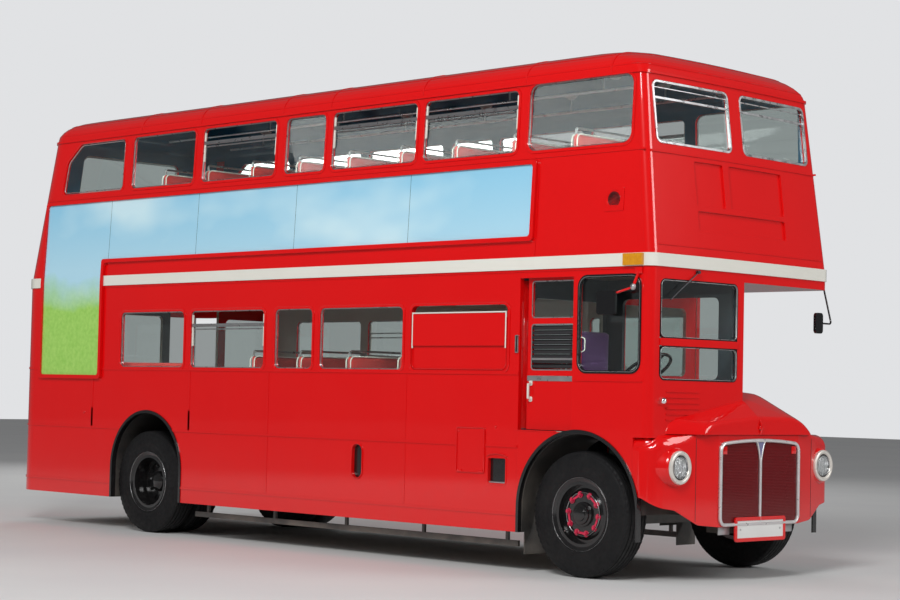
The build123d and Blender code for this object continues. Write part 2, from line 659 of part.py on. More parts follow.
save("indicators", *both(block(x0, x1, -HALF - BAND_PROUD - INDICATOR_T, -HALF - BAND_PROUD, z0, z1)))

# Bonnet: sections across, from the bulkhead to the lip
# X, top height, shoulder, outer edge, lower edge
LID_ROWS = [
    (FRONT_BULKHEAD + LID_GAP, BONNET_TOP, 300, 780, WING_TOP + LID_GAP),
    (WING_FALL, BONNET_TOP, 300, 780, WING_TOP + LID_GAP),
    (NOSE_BACK, BONNET_TOP - 10, 300, 770, NOSE_TOP + LID_GAP),
    (NOSE_LIP, LIP_TOP, 330, 720, NOSE_TOP + LID_GAP),
]


def lid_section(x, top, shoulder, edge, low, inset):
    top = top - inset
    edge = edge - inset
    y0 = BONNET_SEAM + LID_GAP / 2
    mid = ((shoulder + edge) / 2 + (edge - shoulder) * 0.17, low + (top - low) * 0.66)
    edges = [
        Line((x, y0, low), (x, y0, top)),
        Line((x, y0, top), (x, shoulder, top - 8)),
        ThreePointArc((x, shoulder, top - 8), (x, *mid), (x, edge, low)),
        Line((x, edge, low), (x, y0, low)),
    ]
    return Face(Wire(edges))


lid_outer = loft([lid_section(*row, 0) for row in LID_ROWS], ruled=True)
inner_rows = [*LID_ROWS[:-1], (NOSE_LIP - PANEL_T, *LID_ROWS[-1][1:])]
lid_inner = loft([lid_section(*row, PANEL_T) for row in inner_rows], ruled=True)
lid = lid_outer - lid_inner
for x in HINGES:
    lid -= block(x - HINGE_HALF - 5, x + HINGE_HALF + 5, -FAR, HINGE_Y + HINGE_R + 5, HINGE_Z - 60, FAR)
    for side in (-1, 1):
        side_x = x + side * (HINGE_HALF + HINGE_SIDE / 2 + 2)
        lid += rod(side_x, HINGE_Y, HINGE_Z, HINGE_R, HINGE_SIDE - 4, "X")
    lid -= rod(x, HINGE_Y, HINGE_Z, HINGE_PIN_R + RUN_FIT, 4 * HINGE_SIDE + 2 * HINGE_HALF, "X")
save("bonnet_lid", lid)


def cowl_section(x, top, end_top, end, inset):
    y0 = BONNET_SEAM - LID_GAP / 2
    edges = [
        Line((x, y0, NOSE_TOP), (x, y0, top - inset)),
        Line((x, y0, top - inset), (x, end + 160, end_top - inset)),
        ThreePointArc(
            (x, end + 160, end_top - inset),
            (x, end + 50 + inset, end_top - 40 - inset),
            (x, end + inset, NOSE_TOP),
        ),
        Line((x, end + inset, NOSE_TOP), (x, y0, NOSE_TOP)),
    ]
    return Face(Wire(edges))


# X, top height at the seam, height and Y of its offside end
COWL_ROWS = [
    (700, BONNET_TOP, 1340, 99 - HALF),
    (NOSE_LIP, LIP_TOP, 1290, 469 - HALF),
]
cowl_outer = loft([cowl_section(*row, 0) for row in COWL_ROWS], ruled=True)
cowl_rows_in = [COWL_ROWS[0], (NOSE_LIP - PANEL_T, *COWL_ROWS[1][1:])]
cowl_inner = loft([cowl_section(*row, PANEL_T) for row in cowl_rows_in], ruled=True)
save("bonnet_cowl", cowl_outer - cowl_inner - lower_form(0))

# Arch lips and liners
lips = []
for x, z, r in ((FRONT_ARCH_X, FRONT_ARCH_Z, FRONT_ARCH_R), (REAR_ARCH_X, REAR_ARCH_Z, REAR_ARCH_R)):
    lip = arch(x, z, r, -HALF - LIP_PROUD, -INNER, SKIRT_Z) - arch(x, z, r - LIP, -FAR, 0)
    if x == FRONT_ARCH_X:
        lip -= block(NOSE_BACK + 60, FAR, -FAR, FAR, 0, FRONT_ARCH_Z + 150)
    lips.append(lip)
save("arch_lips", *[s for lip in lips for s in both(lip)])
front_liner_r = FRONT_ARCH_R - LIP
liner_out = front_liner_r - LINER_GAP
front_liner = arch(FRONT_ARCH_X, FRONT_ARCH_Z, liner_out, -INNER - LINER_LAP, 390 - TRACK_Y, SKIRT_Z)
front_liner -= arch(FRONT_ARCH_X, FRONT_ARCH_Z, liner_out - LINER_T, -FAR, 0)
front_liner -= block(FRONT_ARCH_X, FAR, -FAR, FAR, 0, FRONT_ARCH_Z)
FLAP_Z = 150
flap_x = FRONT_ARCH_X - liner_out
flap = block(flap_x, flap_x + LINER_T, 69 - HALF, 339 - HALF, FLAP_Z, SKIRT_Z)
save("wheel_boxes", *rear_boxes, *both(front_liner + flap))

# Underframe: two rails and the cross members under the floor
RAIL_Y = 400
RAIL_W = 70
RAIL_Z = 560
RADIATOR_X = 800
NOTCH_Z = 640
NOTCH_HALF = 260
TAIL_X = REAR_FACE + 160
TAIL_Z = SKIRT_Z - 30
# Plain engine block: X, Y and Z of its six sides
ENGINE = (-430, 620, -300, 300, 510, 1150)
FRAME_TOP = FLOOR_Z - FLOOR_T
rails = []
for y in (-RAIL_Y, RAIL_Y):
    rail_y = (y - RAIL_W / 2, y + RAIL_W / 2)
    rail = block(REAR_BULKHEAD, RADIATOR_X, *rail_y, RAIL_Z, FRAME_TOP)
    rail -= block(-WHEELBASE - NOTCH_HALF, NOTCH_HALF - WHEELBASE, -FAR, FAR, 0, NOTCH_Z)
    rail += block(TAIL_X, REAR_BULKHEAD, *rail_y, TAIL_Z, PLATFORM_Z - PLATFORM_T)
    rail += block(REAR_BULKHEAD, REAR_BULKHEAD + 60, *rail_y, TAIL_Z, FRAME_TOP)
    for x in (-300, 450):
        bearer_y = sorted((math.copysign(ENGINE[3], y), math.copysign(RAIL_Y, y)))
        rail += block(x - 40, x + 40, *bearer_y, RAIL_Z + 20, FRAME_TOP - 20)
    rails.append(rail)
underframe = rails[0] + rails[1]
TANK = (1142 - WHEELBASE, -3500, 520, INNER - 124, 300, RAIL_Z + 30)
for x in (-1000, -2300, TANK[1], TANK[0], 692 - WHEELBASE):
    underframe += block(x - 35, x + 35, -INNER, INNER, RAIL_Z + 30, FRAME_TOP)
for x in (REAR_FACE + 1160, REAR_FACE + 460):
    underframe += block(x - 35, x + 35, -INNER + 60, INNER - 60, SKIRT_Z, PLATFORM_Z - PLATFORM_T)
underframe += block(700, 760, -RAIL_Y, RAIL_Y, RAIL_Z, FRAME_TOP)
underframe += block(TAIL_X, TAIL_X + 60, -RAIL_Y, RAIL_Y, TAIL_Z, PLATFORM_Z - PLATFORM_T)
# A beam under the nose on two arms from the rails
BEAM_ARM_W = 40
BEAM_FRONT = 905
BEAM_HALF = 480
BEAM_Z = (395, 440)
for y in (-RAIL_Y, RAIL_Y):
    underframe += block(730, 770, y - BEAM_ARM_W / 2, y + BEAM_ARM_W / 2, BEAM_Z[0], RAIL_Z)
    underframe += block(730, BEAM_FRONT, y - BEAM_ARM_W / 2, y + BEAM_ARM_W / 2, *BEAM_Z)
underframe += block(BEAM_FRONT - 30, BEAM_FRONT, -BEAM_HALF, BEAM_HALF, *BEAM_Z)
TOW_R = 20
TOW_T = 20
TOW_FRONT = (895, 400)
TOW_REAR = (TAIL_X - 80, TAIL_Z)
underframe += block(730, 760, -60, 60, TOW_FRONT[1], RAIL_Z)
underframe += block(730, 930, -60, 60, TOW_FRONT[1], TOW_FRONT[1] + TOW_T)
underframe += block(TAIL_X - 120, TAIL_X, -60, 60, TAIL_Z, TAIL_Z + TOW_T)
# The beam is notched over and under the tow plate, so the eye's bore is only as long as the plate is thick
for z in ((BEAM_Z[0], TOW_FRONT[1]), (TOW_FRONT[1] + TOW_T, BEAM_Z[1])):
    underframe -= block(BEAM_FRONT - 30, BEAM_FRONT, -60, 60, *z)
for x, z in (TOW_FRONT, TOW_REAR):
    underframe -= rod(x, 0, z, TOW_R, 100, "Z")
# Lifeguard rails between the wheels, on five posts each
GUARD_X = (742 - WHEELBASE, -720)
GUARD_SIDE = (109 - HALF, 134 - HALF)
GUARD_Z = (205, 255)
POSTS = 5
lifeguard = block(*GUARD_X, *GUARD_SIDE, *GUARD_Z)
post_step = (GUARD_X[1] - GUARD_X[0] - 330) / (POSTS - 1)
for i in range(POSTS):
    x = GUARD_X[0] + 200 + post_step * i
    lifeguard += block(x - 15, x + 15, *GUARD_SIDE, GUARD_Z[1], FRAME_TOP)
for post_rail in both(lifeguard):
    underframe += post_rail
save("underframe", underframe, block(*TANK))

# Engine, radiator, gearbox and shaft as seen from below
GEARBOX = (-2935, -2335, -180, 180, 330, 640)
SHAFT_R = 45
SHAFT_Z = 540
DIFF_R = 138
save("engine_block", block(*ENGINE), block(RADIATOR_X, RADIATOR_X + 70, -430, 430, 500, 1110))
driveline = block(*GEARBOX)
for x0, x1, z in ((GEARBOX[1], ENGINE[0], SHAFT_Z), (DIFF_R - WHEELBASE, GEARBOX[0], TYRE_R)):
    driveline += rod((x0 + x1) / 2, 0, z, SHAFT_R, x1 - x0, "X")
save("driveline", driveline)

# Front axle with its springs
AXLE_Z = TYRE_R
BEAM_TOP = 500
beam = block(-50, 50, -KINGPIN_Y + 75, KINGPIN_Y - 75, 420, BEAM_TOP)
SPRING_R = 60
EYE_R = 45
for side in (-1, 1):
    y = side * KINGPIN_Y
    beam += block(-EYE_R, EYE_R, *sorted((y, y - side * 100)), AXLE_Z - EYE_R, AXLE_Z + EYE_R)
    beam += rod(0, y, AXLE_Z, EYE_R, 2 * EYE_R, "Z")
    beam -= rod(0, y, AXLE_Z, KINGPIN_R + RUN_FIT, 300, "Z")
    beam += rod(0, side * RAIL_Y, (BEAM_TOP + RAIL_Z) / 2, SPRING_R, RAIL_Z - BEAM_TOP, "Z")

# Knuckles turn on the kingpins and carry the front stub axles
for side, name in ((-1, "offside"), (1, "nearside")):
    y = side * KINGPIN_Y
    pin = rod(0, y, AXLE_Z, KINGPIN_R, 190, "Z")
    plate_y = side * (KINGPIN_Y + 54)
    plate = block(-60, 60, plate_y - 7, plate_y + 7, AXLE_Z - 110, AXLE_Z + 110)
    arm_y = sorted((y - side * 42, plate_y))
    arms = [block(-40, 40, *arm_y, AXLE_Z + z, AXLE_Z + z + 45) for z in (50, -95)]
    stub_end = side * (TRACK_Y + 60)
    stub = rod(0, (plate_y + stub_end) / 2, AXLE_Z, STUB_R, abs(stub_end - plate_y))
    save(f"knuckle_{name}", pin + arms + plate + stub)


# Wheels, drawn about the Y axis with the outer face towards plus Y


def spun(points):
    """A ring from a half section of Y and radius."""
    face = make_face(Polyline(*[(y, r) for y, r in points], close=True))
    ring = revolve(face, Axis.X)
    return Rot(0, 0, 90) * ring


TYRE_HALF = TYRE_W / 2
tyre_points = [
    (-95, RIM_R), (-95, RIM_R + 24), (-114, RIM_R + 40), (-TYRE_HALF, 385), (-118, 480), (-100, TYRE_R - 6),
    (-60, TYRE_R), (60, TYRE_R), (100, TYRE_R - 6), (118, 480), (TYRE_HALF, 385), (114, RIM_R + 40),
    (95, RIM_R + 24), (95, RIM_R),
]
tyre = spun(tyre_points)
rim_points = [
    (-108, RIM_R - 12), (-108, RIM_R + 22), (-95, RIM_R + 22), (-95, RIM_R), (95, RIM_R), (95, RIM_R + 22),
    (108, RIM_R + 22), (108, RIM_R - 12), (60, RIM_R - 16), (-60, RIM_R - 16),
]


def wheel_disc(inner_y, hub_out, bore):
    """Disc, hub and drum of one wheel."""
    disc = spun([
        (inner_y - 10, RIM_R - 16), (inner_y - 10, 205), (inner_y + 12, 175), (inner_y + 12, bore),
        (inner_y + 26, bore), (inner_y + 26, 180), (inner_y + 4, 212), (inner_y + 4, RIM_R - 16),
    ])
    hub = spun([(-60, bore), (-60, 95), (inner_y + 12, 95), (inner_y + 12, bore)])
    cap = spun([(inner_y + 26, 0), (inner_y + 26, 100), (hub_out - 20, 90), (hub_out, 60), (hub_out, 0)])
    return disc + hub + cap


front_rim = spun(rim_points) + wheel_disc(50, 110, STUB_R + RUN_FIT)
front_place = {"offside": (0, -TRACK_Y, 180), "nearside": (0, TRACK_Y, 0)}
for name, (x, y, turn) in front_place.items():
    place = Pos(x, y, AXLE_Z) * Rot(0, 0, turn)
    save(f"front_wheel_{name}", place * front_rim)
    save(f"front_tyre_{name}", place * tyre)

# Rear twins: the drum and hub join two rims on one body
rear_rim = spun(rim_points) + wheel_disc(-60, 20, REAR_STUB_R + RUN_FIT)
rear_inner = Pos(0, -TWIN_STEP, 0) * spun(rim_points)
join = spun([
    (-TWIN_STEP - 60, RIM_R - 16), (-TWIN_STEP - 60, 190), (-60, 190), (-60, 205),
    (-TWIN_STEP - 40, 205), (-TWIN_STEP - 40, RIM_R - 16),
])
rear_bore = REAR_STUB_R + RUN_FIT
rear_hub = spun([(-TWIN_STEP - 40, rear_bore), (-TWIN_STEP - 40, 80), (-60, 80), (-60, rear_bore)])
rear_set = rear_rim + rear_inner + join + rear_hub
for name, (x, y, turn) in front_place.items():
    place = Pos(-WHEELBASE, y, AXLE_Z) * Rot(0, 0, turn)
    save(f"rear_wheels_{name}", place * rear_set)
    save(f"rear_tyres_{name}", place * tyre, place * Pos(0, -TWIN_STEP, 0) * tyre)

# Rear axle with its drive housing
tube = rod(-WHEELBASE, 0, AXLE_Z, 80, 2 * (TRACK_Y - TWIN_STEP - 110))
stubs = rod(-WHEELBASE, 0, AXLE_Z, REAR_STUB_R, 2 * (TRACK_Y - 40))
rear_axle = tube + stubs + Pos(-WHEELBASE, 0, AXLE_Z) * Sphere(DIFF_R)
for y in (-RAIL_Y, RAIL_Y):
    rear_axle += rod(-WHEELBASE, y, (AXLE_Z + NOTCH_Z) / 2, SPRING_R, NOTCH_Z - AXLE_Z, "Z")
save("axles", beam, rear_axle)

# Cream band and mouldings, which stop at the fuel flap
FLAP = (-1364, -1021, 805, 1199)
FLAP_R = 20
FLAP_EDGE = 14
FITTING_T = 5
band = lower_form(-BAND_PROUD, BAND_Z, BAND_Z + BAND_H) - lower_form(0, BAND_Z, BAND_Z + BAND_H)
BOARD_DROP = (REAR_SEAM + 110, REAR_SEAM + 1245)
band -= block(*BOARD_DROP, -FAR, 0, 0, FAR)
save("cream_band", band)
beads = []
for z in (470, 1035, 1645):
    ring = lower_form(-BEAD_PROUD, z, z + BEAD_H) - lower_form(0, z, z + BEAD_H)
    ring -= arch(FRONT_ARCH_X, FRONT_ARCH_Z, FRONT_ARCH_R, -FAR, FAR)
    ring -= arch(REAR_ARCH_X, REAR_ARCH_Z, REAR_ARCH_R, -FAR, FAR)
    ring -= block(DOORWAY_REAR, FAR, -FAR, FAR, 0, FAR)
    ring -= open_zone
    ring -= block(*BOARD_DROP, -FAR, 0, 1500, FAR)
    ring -= side_window(*FLAP, -OUT_Y, -IN_Y, FLAP_R)
    beads.append(ring)
GUTTER_H = 24
front, rear, half, rr = level(GUTTER_Z)
GUTTER_PROUD = 16
g = GUTTER_PROUD
gutter_plan = outline(front + g, rear - g, half + g, FRONT_CORNER + g, rr + g, GUTTER_Z - GUTTER_H)
save("mouldings", *beads, extrude(gutter_plan, GUTTER_H) - upper_form(0))

# Advertising boards: a raised red frame round a flat panel
BOARD_PROUD = 30
BOARD_EDGE = 40
PANEL_PROUD = 12
BOARD = (REAR_SEAM + 130, -510, BAND_Z + 240, UPPER_SILL - 75)
DROP_LOW = 1550
board_shape = side_prism(
    [(BOARD_DROP[0], DROP_LOW), (BOARD_DROP[1], DROP_LOW), (BOARD_DROP[1], BOARD[2]), (BOARD[1], BOARD[2]),
     (BOARD[1], BOARD[3]), (BOARD_DROP[0], BOARD[3])], -OUT_Y, -IN_Y, 40,
)
e = BOARD_EDGE
board_inner = side_prism(
    [(BOARD_DROP[0] + e, DROP_LOW + e), (BOARD_DROP[1] - e, DROP_LOW + e), (BOARD_DROP[1] - e, BOARD[2] + e),
     (BOARD[1] - e, BOARD[2] + e), (BOARD[1] - e, BOARD[3] - e), (BOARD_DROP[0] + e, BOARD[3] - e)],
    -OUT_Y, -IN_Y, 30,
)
near_shape = side_window(REAR_BULKHEAD, BOARD[1], BOARD[2], BOARD[3], IN_Y, OUT_Y, 40)
near_inner = side_window(REAR_BULKHEAD + e, BOARD[1] - e, BOARD[2] + e, BOARD[3] - e, IN_Y, OUT_Y, 30)
proud = (upper_form(-BOARD_PROUD) - upper_form(0)) + (lower_form(-BOARD_PROUD) - lower_form(0))
flat = (upper_form(-PANEL_PROUD) - upper_form(0)) + (lower_form(-PANEL_PROUD) - lower_form(0))
save("board_frames", (proud & board_shape) - board_inner, (proud & near_shape) - near_inner)
save("board_panels", flat & board_inner, flat & near_inner)

# Seats: cushion and back pads on steel frames
SEAT_IN = 260
SEAT_D = 420
SEAT_Z = 430
PAD_T = 110
BACK_T = 80
BACK_TOP = 1110
PAD_GAP = 0.3
LOWER_ROWS = [-1440 - 690 * i for i in range(5)]
UPPER_ROWS = [-150 - 700 * i for i in range(9)]


def seat_pads(x, floor, out):
    z0 = floor + SEAT_Z - PAD_T + PAD_GAP
    cushion = block(x + PAD_GAP, x + SEAT_D, SEAT_IN, out, z0, floor + SEAT_Z)
    back = block(x - BACK_T, x, SEAT_IN, out, z0, floor + BACK_TOP)
    return [cushion, back]


def seat_frame(x, floor, out):
    """A pan under the pads, a leg at the gangway and one at the wall."""
    z0 = floor + SEAT_Z - PAD_T
    pan = block(x - BACK_T + 10, x + SEAT_D - 20, SEAT_IN + 10, out - 10, z0 - 25, z0)
    legs = block(x + 150, x + 190, SEAT_IN + 60, SEAT_IN + 100, floor, z0 - 25)
    legs += block(x + 150, x + 190, out - 100, out - 60, floor, z0 - 25)
    return pan + legs


# Deck, floor height, seat places, outer edge of the seats
DECKS = [
    ("lower", FLOOR_Z, LOWER_ROWS, INNER - 24),
    ("upper", UPPER_FLOOR_Z, UPPER_ROWS, INNER - 74),
]
# Benches over the rear wheel boxes, facing the gangway
BENCH_X = (-WHEELBASE - 538, 612 - WHEELBASE)
BENCH_Y = (INNER - 534, INNER - 84)
BENCH_BACK = INNER - 24
BENCH_T = 90
BENCH_H = 520
bench_z = REAR_ARCH_Z + liner_r + LINER_T + PAD_GAP
benches = [
    block(*BENCH_X, *BENCH_Y, bench_z, bench_z + BENCH_T),
    block(*BENCH_X, BENCH_Y[1] + PAD_GAP, BENCH_BACK, bench_z, bench_z + BENCH_H),
]
seat_frames = []
for deck, floor, rows, out in DECKS:
    pads = [pad for x in rows for pad in seat_pads(x, floor, out)]
    if deck == "lower":
        pads += benches
    save(f"seat_pads_{deck}", *[p for pad in pads for p in both(pad)])
    seat_frames += [f for x in rows for f in both(seat_frame(x, floor, out))]
save("seat_frames", *seat_frames)

# Driver's seat, steering wheel and dash
DRIVER_X = -330
DRIVER_Y = -630
DRIVER_SEAT_Z = CAB_FLOOR_Z + 240
base_y = (DRIVER_Y - 200, DRIVER_Y + 200)
driver_base = block(DRIVER_X - BACK_T, DRIVER_X + 360, *base_y, CAB_FLOOR_Z, DRIVER_SEAT_Z)
pad_y = (DRIVER_Y - 230, DRIVER_Y + 230)
pad_z = DRIVER_SEAT_Z + PAD_GAP
driver_cushion = block(DRIVER_X + PAD_GAP, DRIVER_X + 420, *pad_y, pad_z, DRIVER_SEAT_Z + 100)
driver_back = block(DRIVER_X - BACK_T, DRIVER_X, *pad_y, pad_z, DRIVER_SEAT_Z + 620)
save("driver_seat_pads", driver_cushion, driver_back)
# The column leans back from its foot on the cab floor to the steering wheel
COLUMN_X = 610
COLUMN_LEAN = 35
COLUMN_L = 640
column_place = Pos(COLUMN_X, DRIVER_Y, CAB_FLOOR_Z) * Rot(0, -COLUMN_LEAN, 0)
column = column_place * Cylinder(22, 2 * COLUMN_L) - block(-FAR, FAR, -FAR, FAR, 0, CAB_FLOOR_Z)
wheel_ring = column_place * Pos(0, 0, COLUMN_L) * (Torus(220, 14) + Box(430, 30, 14) + Cylinder(50, 20))
save("steering_wheel", column + wheel_ring)
cab_floor_z = (CAB_FLOOR_Z - CAB_FLOOR_T, CAB_FLOOR_Z)
cab_base = lower_room & block(FRONT_BULKHEAD, FAR, -INNER, CAB_INNER_Y, *cab_floor_z)
dash = lower_room & block(665, FAR, -INNER + 60, CAB_INNER_Y - WALL, CAB_FLOOR_Z, 1580)
save("cab_floor", cab_base + dash + driver_base)

# Number plate, and the pole at the corner of the platform
plate = front_prism([(-340, 330), (340, 330), (340, 520), (-340, 520)], NOSE_FACE + 12, FRONT_OVERHANG, 20)
save("number_plate", plate)
POLE_R = 16
pole_out = (REAR_CORNER - WALL / 2) * math.sqrt(0.5)
pole_x = REAR_SEAM - pole_out
pole_y = HALF - REAR_CORNER + pole_out
pole_h = PLATFORM_OPEN_TOP - PLATFORM_Z
save("platform_pole", rod(pole_x, pole_y, PLATFORM_Z + pole_h / 2, POLE_R, pole_h, "Z"))

# Guard rail of the stairwell on the upper deck
RAIL_R = 14
GUARD_H = 880
STAIR_GUARD_Y = STAIRWELL[3] + 20
GUARD_ENDS = (STAIRWELL[0] + 200, STAIRWELL[1] - 40)
guard_mid = (GUARD_ENDS[0] + GUARD_ENDS[1]) / 2
guard = rod(guard_mid, STAIR_GUARD_Y, UPPER_FLOOR_Z + GUARD_H, RAIL_R, GUARD_ENDS[1] - GUARD_ENDS[0], "X")
for x in (*GUARD_ENDS, guard_mid):
    guard += rod(x, STAIR_GUARD_Y, UPPER_FLOOR_Z + GUARD_H / 2, RAIL_R, GUARD_H, "Z")
    guard += Pos(x, STAIR_GUARD_Y, UPPER_FLOOR_Z + GUARD_H) * Sphere(RAIL_R)
save("handrails", guard)

# Mirrors: the offside one hangs on a jointed bracket, the nearside one on a bent arm from the canopy
REACH = HALF + 81
MIRROR_T = 25
OFF_JOINT = (617, 30 - REACH, DECK_Z - 223)
OFF_HEAD = (262, 458, DECK_Z - 443, DECK_Z - 248)
NEAR_HEAD = (HALF - 179, HALF - 69, DECK_Z - 508, DECK_Z - 328)
NEAR_ARM_X = 660
NEAR_HEAD_X = 745
ARM_R = 8


def strut(a, b, r):
    """A round bar between two points."""
    line = Edge.make_line(a, b)
    return extrude(Plane(origin=a, z_dir=line.tangent_at(0)) * Circle(r), line.length)


skin_point = (640, -HALF, DECK_Z - 90)
off_mirror = strut(skin_point, OFF_JOINT, ARM_R) + Pos(*OFF_JOINT) * Sphere(20)
off_mirror += Pos(*skin_point) * Box(60, 12, 50)
off_mirror -= lower_form(0)
off_mirror += strut(OFF_JOINT, (OFF_HEAD[1] - 40, -REACH + MIRROR_T, OFF_HEAD[3] - 30), ARM_R)
off_mirror += side_window(*OFF_HEAD, -REACH, MIRROR_T - REACH, 30)
near_y = REACH - ARM_R
arm_path = FilletPolyline(
    (NEAR_ARM_X, HALF - 20, DECK_Z - 98), (NEAR_ARM_X, near_y, DECK_Z - 98),
    (NEAR_HEAD_X, near_y, DECK_Z - 418), (NEAR_HEAD_X, NEAR_HEAD[1] - 20, DECK_Z - 418), radius=30,
)
near_arm = sweep(Plane(origin=arm_path @ 0, z_dir=arm_path % 0) * Circle(ARM_R), arm_path)
near_mirror = near_arm - lower_form(0, CANOPY_Z)
near_mirror += front_window(*NEAR_HEAD, NEAR_HEAD_X - MIRROR_T / 2, NEAR_HEAD_X + MIRROR_T / 2, 30)
save("mirrors", off_mirror, near_mirror)

# Wiper of the windscreen, hung from above it
WIPER_X = FRONT_FACE + 8
WIPER_PIVOT = (WIPER_X, -664, DECK_Z - 78)
WIPER_END = (WIPER_X - 6, 209 - HALF, DECK_Z - 316)
wiper = strut(WIPER_PIVOT, WIPER_END, 5)
wiper += rod(FRONT_FACE - 10, WIPER_PIVOT[1], WIPER_PIVOT[2], 14, 60, "X") - lower_form(0)
save("wipers", wiper)

# Small fittings of the offside panels: the flap, the rim of the filler slot and the round vent's plate
flap_rim = side_window(*FLAP, -HALF - FITTING_T, -HALF, FLAP_R)
flap_hole = [v + d for v, d in zip(FLAP, (FLAP_EDGE, -FLAP_EDGE, FLAP_EDGE, -FLAP_EDGE))]
flap_rim -= side_window(*flap_hole, -HALF - FITTING_T, 2 - HALF - FITTING_T, 12)
a, b, c, d, r = POCKETS[1]
slot_rim = side_window(a - 12, b + 12, c - 12, d + 12, -HALF - FITTING_T, -HALF, r + 12)
slot_rim -= side_window(a, b, c, d, -FAR, 0, r)
VENT = (240, 445, DECK_Z + 41.7 * SIGN_ROOM, DECK_Z + 62.2 * SIGN_ROOM)
VENT_RINGS = [(75, 62), (45, 34)]
vent_plate = (upper_form(-FITTING_T) - upper_form(0)) & side_window(*VENT, -OUT_Y, -IN_Y, 12)
for outer, inner in VENT_RINGS:
    groove = rod((VENT[0] + VENT[1]) / 2, -HALF, (VENT[2] + VENT[3]) / 2, outer, 400)
    groove -= rod((VENT[0] + VENT[1]) / 2, -HALF, (VENT[2] + VENT[3]) / 2, inner, 400)
    vent_plate -= groove - upper_form(2 - FITTING_T)
save("side_fittings", flap_rim, slot_rim, vent_plate, sign)

# Rear lamps on the closed part of the back
REAR_LAMPS = [(-850, 900), (-30, 900)]
REAR_LAMP_R = 48
REAR_LAMP_T = BAND_PROUD
rear_lamps = []
for y, z in REAR_LAMPS:
    rear_lamps.append(rod(REAR_FACE - REAR_LAMP_T / 2, y, z, REAR_LAMP_R, REAR_LAMP_T, "X"))
save("rear_lamps", *rear_lamps)
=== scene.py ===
import bmesh
import bpy
import json
import math
from mathutils import Matrix, Vector


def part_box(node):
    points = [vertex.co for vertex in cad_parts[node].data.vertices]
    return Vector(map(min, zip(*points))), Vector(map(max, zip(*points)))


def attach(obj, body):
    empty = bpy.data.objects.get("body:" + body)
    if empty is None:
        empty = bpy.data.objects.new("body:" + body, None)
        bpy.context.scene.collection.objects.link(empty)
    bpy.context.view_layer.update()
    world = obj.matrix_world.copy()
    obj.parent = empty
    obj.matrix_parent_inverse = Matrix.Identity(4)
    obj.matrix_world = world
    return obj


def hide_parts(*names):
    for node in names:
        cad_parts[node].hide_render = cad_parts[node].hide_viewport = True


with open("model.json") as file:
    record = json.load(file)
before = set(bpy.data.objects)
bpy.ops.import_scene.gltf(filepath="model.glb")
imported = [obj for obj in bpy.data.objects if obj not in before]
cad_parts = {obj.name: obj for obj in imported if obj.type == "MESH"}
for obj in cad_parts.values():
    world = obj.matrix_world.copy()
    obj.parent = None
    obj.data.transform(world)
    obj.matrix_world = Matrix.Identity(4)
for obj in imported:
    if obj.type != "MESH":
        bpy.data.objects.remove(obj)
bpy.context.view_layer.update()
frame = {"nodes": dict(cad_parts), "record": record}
NODES = frame["nodes"]

# Metres. X is forward, Y is to the nearside (left), Z is up from the road.

# Places on the bus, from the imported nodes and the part's own sizes
FRONT_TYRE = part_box("front_tyre_offside")
REAR_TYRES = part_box("rear_tyres_offside")
FRONT_AXLE_X = (FRONT_TYRE[0].x + FRONT_TYRE[1].x) / 2
REAR_AXLE_X = (REAR_TYRES[0].x + REAR_TYRES[1].x) / 2
AXLE_Z = FRONT_TYRE[1].z / 2
HALF = 1.219
DECK_Z = 2.578
GUTTER_Z = 4.12
TUMBLE_IN = 0.079

# Camera, solved from the photograph's window rows, bands and wheels
CAMERA = (FRONT_AXLE_X + 10.918, -13.635, 1.469)
LENS = 80.94
YAW = 45.036
PITCH = 2.672
ROLL = 1.273


# Shader nodes


def set_inputs(tree, node, inputs):
    """Set or link a node's inputs, by name or number."""
    for key, value in (inputs or {}).items():
        if isinstance(value, bpy.types.NodeSocket):
            tree.links.new(value, node.inputs[key])
        else:
            node.inputs[key].default_value = value


def put(tree, kind, inputs=None, **props):
    """Add a node with its properties and inputs."""
    n = tree.nodes.new("ShaderNode" + kind)
    for key, value in props.items():
        setattr(n, key, value)
    set_inputs(tree, n, inputs)
    return n


def group(name, inputs, outputs):
    """A shader node group with named inputs and outputs: name, kind and start value."""
    tree = bpy.data.node_groups.new(name, "ShaderNodeTree")
    for key, kind, value in inputs:
        s = tree.interface.new_socket(key, in_out="INPUT", socket_type="NodeSocket" + kind)
        if value is not None:
            s.default_value = value
    for key, kind in outputs:
        tree.interface.new_socket(key, in_out="OUTPUT", socket_type="NodeSocket" + kind)
    return tree, tree.nodes.new("NodeGroupInput").outputs, tree.nodes.new("NodeGroupOutput").inputs


def use(tree, name, inputs=None):
    """Place a group in a material, with its own values."""
    n = tree.nodes.new("ShaderNodeGroup")
    n.node_tree = bpy.data.node_groups[name]
    set_inputs(tree, n, inputs)
    return n.outputs


def object_place(tree):
    """The object's own coordinates."""
    return put(tree, "TexCoord").outputs["Object"]


def along(tree, at, axis):
    """One coordinate of a place."""
    return put(tree, "SeparateXYZ", {0: at}).outputs[axis]


def noise(tree, at, scale, detail=3.0, rough=0.55, stretch=None):
    """Noise on object coordinates, stretched along an axis where asked."""
    if stretch:
        at = put(tree, "Mapping", {"Vector": at, "Scale": stretch}).outputs["Vector"]
    inputs = {"Vector": at, "Scale": scale, "Detail": detail, "Roughness": rough}
    return put(tree, "TexNoise", inputs).outputs["Fac"]


def ramp(tree, value, low, high, start=0.0, end=1.0):
    """Take a value from low..high to start..end."""
    inputs = {"Value": value, "From Min": low, "From Max": high, "To Min": start, "To Max": end}
    return put(tree, "MapRange", inputs).outputs[0]


def maths(tree, operation, a, b=0.5):
    """The result of one sum or comparison of two values."""
    return put(tree, "Math", {0: a, 1: b}, operation=operation).outputs[0]


